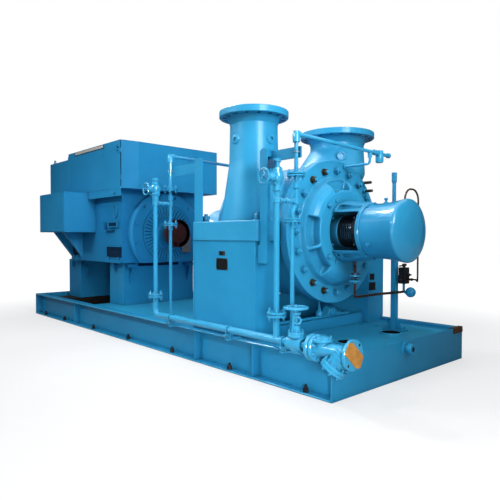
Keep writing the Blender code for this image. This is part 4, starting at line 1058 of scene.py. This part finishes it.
# Handwheels. Cast with a scalloped rim and three or four arms that drop to the hub, and held
# on the spindle's square by a nut; two shut the risers and the largest the inlet.
def hand_wheel(name, joint, radius, arms):
    """A dished wheel on its joint's axis, with its rim, arms, hub and spindle nut."""
    place, axis = Vector(joint["pos_m"]), Vector(joint["axis"])
    turn = axis.to_track_quat("Z", "Y").to_matrix()
    grip = radius * 0.11
    rim = []
    for i in range(73):
        angle = math.tau * i / 72
        reach = (radius - grip) * (1.0 + 0.022 * math.cos(9 * angle)) - radius * 0.020
        rim.append(place + turn @ Vector((reach * math.cos(angle), reach * math.sin(angle), 0)))
    bm = bmesh.new()
    add_tube(bm, rim, grip, 12)
    for along, across in on_circle(1, evenly(arms, arms / 4)):
        out = turn @ Vector((along, across, 0))
        add_tube(bm, [place + out * (radius * 0.92 - grip), place + out * radius * 0.55 - axis * grip * 0.5,
                      place + out * radius * 0.15 - axis * grip * 1.4], grip * 0.75, 10)
    low = -radius * 0.30
    add_turned(bm, [(0, low), (radius * 0.22, low), (radius * 0.24, low * 0.6), (radius * 0.20, grip * 0.6),
                    (radius * 0.10, grip * 0.9), (0, grip * 0.9)], place, axis, 24)
    add_nut(bm, place + axis * grip * 0.7, axis, radius * 0.24, radius * 0.04, radius * 0.11)
    make(name, bm, enamel_on_pipe, joint["child"], stands_for=(joint["child"],))


turning = {joint["child"]: joint for joint in frame["joints"]}
hand_wheel("handwheel_rim_drive", turning["handwheel_drive"], 0.0615, 3)
hand_wheel("handwheel_rim_outboard", turning["handwheel_outboard"], 0.0615, 3)
hand_wheel("handwheel_rim_inlet", turning["handwheel_inlet"], 0.0935, 4)


# Riser valves. Each riser ends in a small screwed globe valve whose spindle points forward, with
# a cap above and the bridge's socket below; the outboard one carries a position switch.
VALVE_Z = (1.605, 1.580)
RISER_TOP = 1.690
BRIDGE_Z = (1.475, 1.415)
# Dark blue lacquer: the stoved finish of a bought-in fitting, smooth and darker than the enamel.
blue_lacquer = mottled("dark_blue_lacquer", "#0b3b5e", "#125079", 16.7, 0.35, detail=3.0)

bm = bmesh.new()
for x, wheel_z, reach, bridge in zip(PIPE_X, VALVE_Z, (0.0, 0.030), BRIDGE_Z):
    add_turned(bm, [(0.0215, -0.100), (0.033, -0.098), (0.033, -0.070), (0.027, -0.066), (0.034, -0.040),
                    (0.048, -0.015), (0.050, 0.010), (0.044, 0.034), (0.030, 0.046), (0.033, 0.050),
                    (0.033, 0.076), (0.0215, 0.080)], (x, HEADER_Y, wheel_z), UP, 36)
    add_turned(bm, [(0.030, 0.030), (0.030, 0.046), (0.034, 0.047), (0.034, 0.060),
                    (0.022, 0.063 + reach * 0.5), (0.018, 0.070 + reach), (0.014, 0.072 + reach),
                    (0.014, 0.0835 + reach), (0.008, 0.0835 + reach)], (x, HEADER_Y, wheel_z), (0, -1, 0), 24)
    add_block(bm, (x - 0.030, x + 0.030), (HEADER_Y - 0.052, HEADER_Y - 0.034),
              (wheel_z - 0.052, wheel_z - 0.036))
    add_turned(bm, [(0.0215, 0), (0.030, 0.004), (0.030, 0.040), (0.0215, 0.046)],
               (x, HEADER_Y, bridge - 0.023), UP, 6)
    add_turned(bm, [(0.0215, 0), (0.030, 0.002), (0.030, 0.026), (0, 0.030)], (x, HEADER_Y, RISER_TOP),
               UP, 24)
make("riser_valve_bodies", bm, enamel_on_pipe, bevel=0.0008)

bm = bmesh.new()
switch_x = PIPE_X[1] - 0.018
add_block(bm, (switch_x - 0.030, switch_x + 0.030), (-1.112, -1.090), (1.646, 1.704))
add_tube(bm, [(switch_x, -1.090, 1.675), (switch_x, -1.062, 1.675)], 0.010, 12)
make("riser_position_switch", bm, blue_lacquer, bevel=0.002)


# Branch pipes. Thin pipe beside each riser with screwed unions, small bolted flanges, tees at
# the bridge to the riser, and a cast elbow at the top where it turns over the pump.
BRANCH_FOOT_Y = (-0.885, -0.890)
BRANCH_Y = (-0.885, -0.850)
BRANCH_TOP = (1.950, 1.930)
bm = bmesh.new()
for x, low_y, high_y, top, bridge in zip(PIPE_X, BRANCH_FOOT_Y, BRANCH_Y, BRANCH_TOP, BRIDGE_Z):
    for y, z in ((high_y, 1.62), (low_y, 1.270)):
        for along, across in on_circle(0.053, evenly(4, 0.5)):
            for up in (1, -1):
                add_nut(bm, (x + along, y + across, z + up * 0.0153), (0, 0, up), 0.020, 0.012, 0.012)
    for y, z in ((high_y, bridge), (high_y, 1.535), (low_y, 1.235)):
        add_turned(bm, [(0.0165, -0.024), (0.024, -0.021), (0.024, 0.021), (0.0165, 0.024)], (x, y, z),
                   UP, 20)
    add_turned(bm, [(0.0145, -0.016), (0.022, -0.014), (0.022, 0.014), (0.0145, 0.016)],
               (x, (high_y + HEADER_Y) / 2, bridge), (0, 1, 0), 6)
    for reach in (0.036, -0.036):
        add_turned(bm, [(0.0145, -0.010), (0.021, -0.008), (0.021, 0.008), (0.0145, 0.010)],
                   (x, (high_y if reach < 0 else HEADER_Y) + reach, bridge), (0, 1, 0), 16)
    add_turned(bm, [(0.020, -0.055), (0.028, -0.052), (0.029, 0.004), (0.024, 0.022), (0.012, 0.029),
                    (0, 0.030)], (x, high_y, top - 0.012), UP, 24)
    add_turned(bm, [(0.0, -0.020), (0.026, 0.0), (0.027, 0.036), (0.0165, 0.040)], (x, high_y, top - 0.002),
               (0, 1, -0.03), 24)
make("branch_pipe_fittings", bm, enamel_on_pipe, bevel=0.0008)


# Vent line. Over the pump the outboard branch ends in a small valve, and a tube with hexagon
# unions drops from it to the cover.
VENT_X = PIPE_X[1]
VENT_FALL = (0, 1, -0.015)
bm = bmesh.new()
add_turned(bm, [(0.0125, -0.020), (0.022, -0.018), (0.022, 0.018), (0.0125, 0.020)], (VENT_X, 0.12, 1.875),
           UP, 6)
add_turned(bm, [(0.0, 0.0), (0.022, 0.0), (0.022, 0.016), (0.0125, 0.020)], (2.0612, 0.12, 1.80),
           ALONG, 6)
add_turned(bm, [(0, -0.052), (0.030, -0.050), (0.036, -0.040), (0.036, 0.030), (0.030, 0.040),
                (0.022, 0.044), (0.022, 0.060), (0, 0.062)], (VENT_X, 0.27, 1.872), UP, 24)
add_turned(bm, [(0.0165, -0.030), (0.025, -0.028), (0.025, 0.028), (0.0165, 0.030)], (VENT_X, 0.20, 1.906),
           VENT_FALL, 20)
add_turned(bm, [(0.0165, -0.016), (0.023, -0.014), (0.023, 0.014), (0.0, 0.016)], (VENT_X, 0.412, 1.9015),
           VENT_FALL, 20)
make("vent_valve_and_unions", bm, enamel_on_pipe, bevel=0.0008)


# Inlet strainer. A Y-pattern cast strainer bolted to the header: flange pair, screen leg with
# its blind flange, and an open inlet flange closed by a strip of orange shipping cover.
STRAINER_X = 2.6603
leg_start = Vector((STRAINER_X + 0.305, HEADER_Y, HEADER_Z))
leg_end = Vector((STRAINER_X + 0.235, -1.100, 0.270))
leg = (leg_end - leg_start).normalized()
length = (leg_end - leg_start).length
# Orange polyethylene: the translucent shipping cover, scuffed and stained brown in 36 mm patches.
orange_cover = mottled("orange_polyethylene", "#a5722e", "#cf9248", 35.7, 0.55, detail=5.0, ragged=0.65,
                       tones=(0.3, 0.7), relief=3.0, strength=0.7)
coat(orange_cover, "inlet_blank")

bm = bmesh.new()
add_turned(bm, [(0.0345, 0.0), (0.051, 0.026), (0.090, 0.0275), (0.0945, 0.032), (0.0945, 0.052),
                (0.090, 0.057), (0.084, 0.0575), (0.084, 0.0625), (0.090, 0.063), (0.0945, 0.068),
                (0.0945, 0.088), (0.090, 0.0925), (0.062, 0.095), (0.056, 0.104), (0.0515, 0.120),
                (0.0485, 0.150), (0.0485, 0.340), (0.056, 0.350), (0.100, 0.356), (0.1035, 0.360),
                (0.1035, 0.376), (0.100, 0.3798), (0, 0.3798)],
           (STRAINER_X, HEADER_Y, HEADER_Z), ALONG, 56)
add_turned(bm, [(0.051, 0.0), (0.051, 0.046), (0.066, 0.051), (0.0690, 0.055), (0.0690, 0.068),
                (0.066, 0.072), (0.052, 0.075), (0.046, 0.084), (0.030, 0.0895), (0, 0.0900)],
           (STRAINER_X + 0.125, HEADER_Y, HEADER_Z), UP, 48)
add_turned(bm, [(0, 0.0), (0.063, 0.0), (0.063, length - 0.052), (0.070, length - 0.046),
                (0.0880, length - 0.0445), (0.0900, length - 0.042), (0.0900, length - 0.026),
                (0.0870, length - 0.024), (0.0870, length - 0.021), (0.0900, length - 0.019),
                (0.0900, length - 0.003), (0.0870, length), (0.040, length), (0.034, length - 0.004),
                (0, length - 0.004)], leg_start, leg, 56)
add_turned(bm, [(0.067, 0.020), (0.067, 0.026), (0.063, 0.028)], leg_start, leg, 48)
add_turned(bm, [(0.068, 0.050), (0.068, 0.056), (0.063, 0.058)], leg_start, leg, 48)
make("strainer_casting", bm, enamel_on_pipe, stands_for=("inlet_strainer",))

bm = bmesh.new()
for across, up in on_circle(0.077, evenly(8, 0.5)):
    for reach, way in ((0.0275, -1), (0.0925, 1)):
        add_nut(bm, (STRAINER_X + reach, HEADER_Y + across, HEADER_Z + up), (way, 0, 0), 0.020, 0.010, 0.013)
for along, across in on_circle(0.058, evenly(6)):
    add_nut(bm, (STRAINER_X + 0.125 + along, HEADER_Y + across, HEADER_Z + 0.0735), UP, 0.016, 0.006,
            0.010)
leg_side = leg.orthogonal().normalized()
leg_up = leg.cross(leg_side)
for along, up in on_circle(0.077, evenly(8, 0.25)):
    ring = leg_side * along + leg_up * up
    add_nut(bm, leg_start + leg * (length - 0.0445) + ring, -leg, 0.016, 0.008, 0.011)
    add_nut(bm, leg_end + ring, leg, 0.016, 0.006, 0.010)
make("strainer_bolts", bm, enamel_on_pipe)

# Painted shade: dark discs stand in the inlet flange's open bolt holes.
bm = bmesh.new()
for across, up in on_circle(0.084, evenly(4, 0.5)):
    add_turned(bm, [(0, 0.0006), (0.0095, 0.0006), (0.0095, 0.0), (0, 0.0)],
               (STRAINER_X + 0.3798, HEADER_Y + across, HEADER_Z + up), ALONG, 16)
make("strainer_flange_hole_shade", bm, shade_and_gasket_dark)


# Pipe supports. Cut and bent plate brackets welded to the casing's feet, each with a zinc-plated
# U-bolt that clasps its branch pipe.
coat(enamel_on_plate, "pipe_support_drive", "pipe_support_outboard")
bm = bmesh.new()
for x, y, z in zip(PIPE_X, BRANCH_Y, (1.800, 1.790)):
    bow = [(x + along, y - out, z) for along, out in on_circle(0.021, HALF_CIRCLE)]
    back = y + 0.024
    add_tube(bm, [(x + 0.021, back, z)] + bow + [(x - 0.021, back, z)], 0.004, 10)
make("support_u_bolts", bm, zinc_plate)


# Instrument stand. A square post bolted down by its gusseted foot, with a thinner pole above it,
# a black valve manifold with a red knob, and dark brown tube to the seal and the bearing cap.

# Oxidised tube: unpainted steel line, dark brown in 18 mm patches, with a dull sheen.
brown_tube = mottled("oxidised_steel_tube", "#2a1d17", "#6a5040", 18.2, 0.42, 0.75)
coat(enamel_on_plate, "instrument_stand")
coat(brown_tube, "seal_drain", "vent_tube")

bm = bmesh.new()
for x in (2.300, 2.446):
    add_nut(bm, (x, 0.553, 0.2774), UP, 0.024, 0.010)
make("stand_foot_nuts", bm, enamel_on_plate)

bm = bmesh.new()
add_block(bm, (2.4365, 2.5055), (0.4520, 0.5320), (0.7155, 0.790))
add_block(bm, (2.4375, 2.5045), (0.4530, 0.5310), (0.790, 0.8655))
add_turned(bm, [(0, 0), (0.016, 0), (0.014, 0.024), (0.008, 0.028), (0.008, 0.042), (0, 0.044)],
           (2.506, 0.492, 0.800), ALONG, 16)
add_turned(bm, [(0, 0), (0.014, 0), (0.012, 0.022), (0.007, 0.026), (0, 0.040)], (2.471, 0.4525, 0.755),
           (0, -1, 0), 16)
add_turned(bm, [(0, 0), (0.015, 0), (0.013, 0.020), (0.008, 0.024), (0.008, 0.090), (0.014, 0.092),
                (0.014, 0.104), (0, 0.106)], (2.471, 0.5315, 0.745), (0, 1, 0), 16)
add_tube(bm, [(2.471, 0.492, 0.862), (2.471, 0.470, 0.884), (2.471, 0.415, 0.880)], 0.007, 10)
make("manifold_body", bm, black_oxide, bevel=0.0015)

bm = bmesh.new()
add_turned(bm, [(0, 0), (0.010, 0), (0.010, 0.016), (0.020, 0.020), (0.022, 0.034), (0.016, 0.040),
                (0, 0.042)], (2.471, 0.500, 0.860), UP, 20)
make("manifold_knob", bm, shade_dark_red, bevel=0.001)


# Seal drain flanges. A pair of small screwed flanges with a joint ring between them, bolted
# together on the drain tube under the outboard seal.
DRAIN_X = 2.280
bm = bmesh.new()
for z, up in ((0.796, 1), (0.764, -1)):
    add_turned(bm, [(0.0125, 0), (0.052, 0), (0.054, 0.002), (0.054, 0.013), (0.052, 0.015),
                    (0.020, 0.017), (0.0125, 0.030)], (DRAIN_X, 0.0, z), (0, 0, up), 32)
    for along, across in on_circle(0.040, evenly(4, 0.5)):
        add_nut(bm, (DRAIN_X + along, across, z + up * 0.015), (0, 0, up), 0.014, 0.006, 0.009)
add_turned(bm, [(0.0125, 0), (0.048, 0), (0.048, 0.002), (0.0125, 0.002)], (DRAIN_X, 0, 0.779), UP, 24)
make("seal_drain_flanges", bm, enamel_on_pipe)
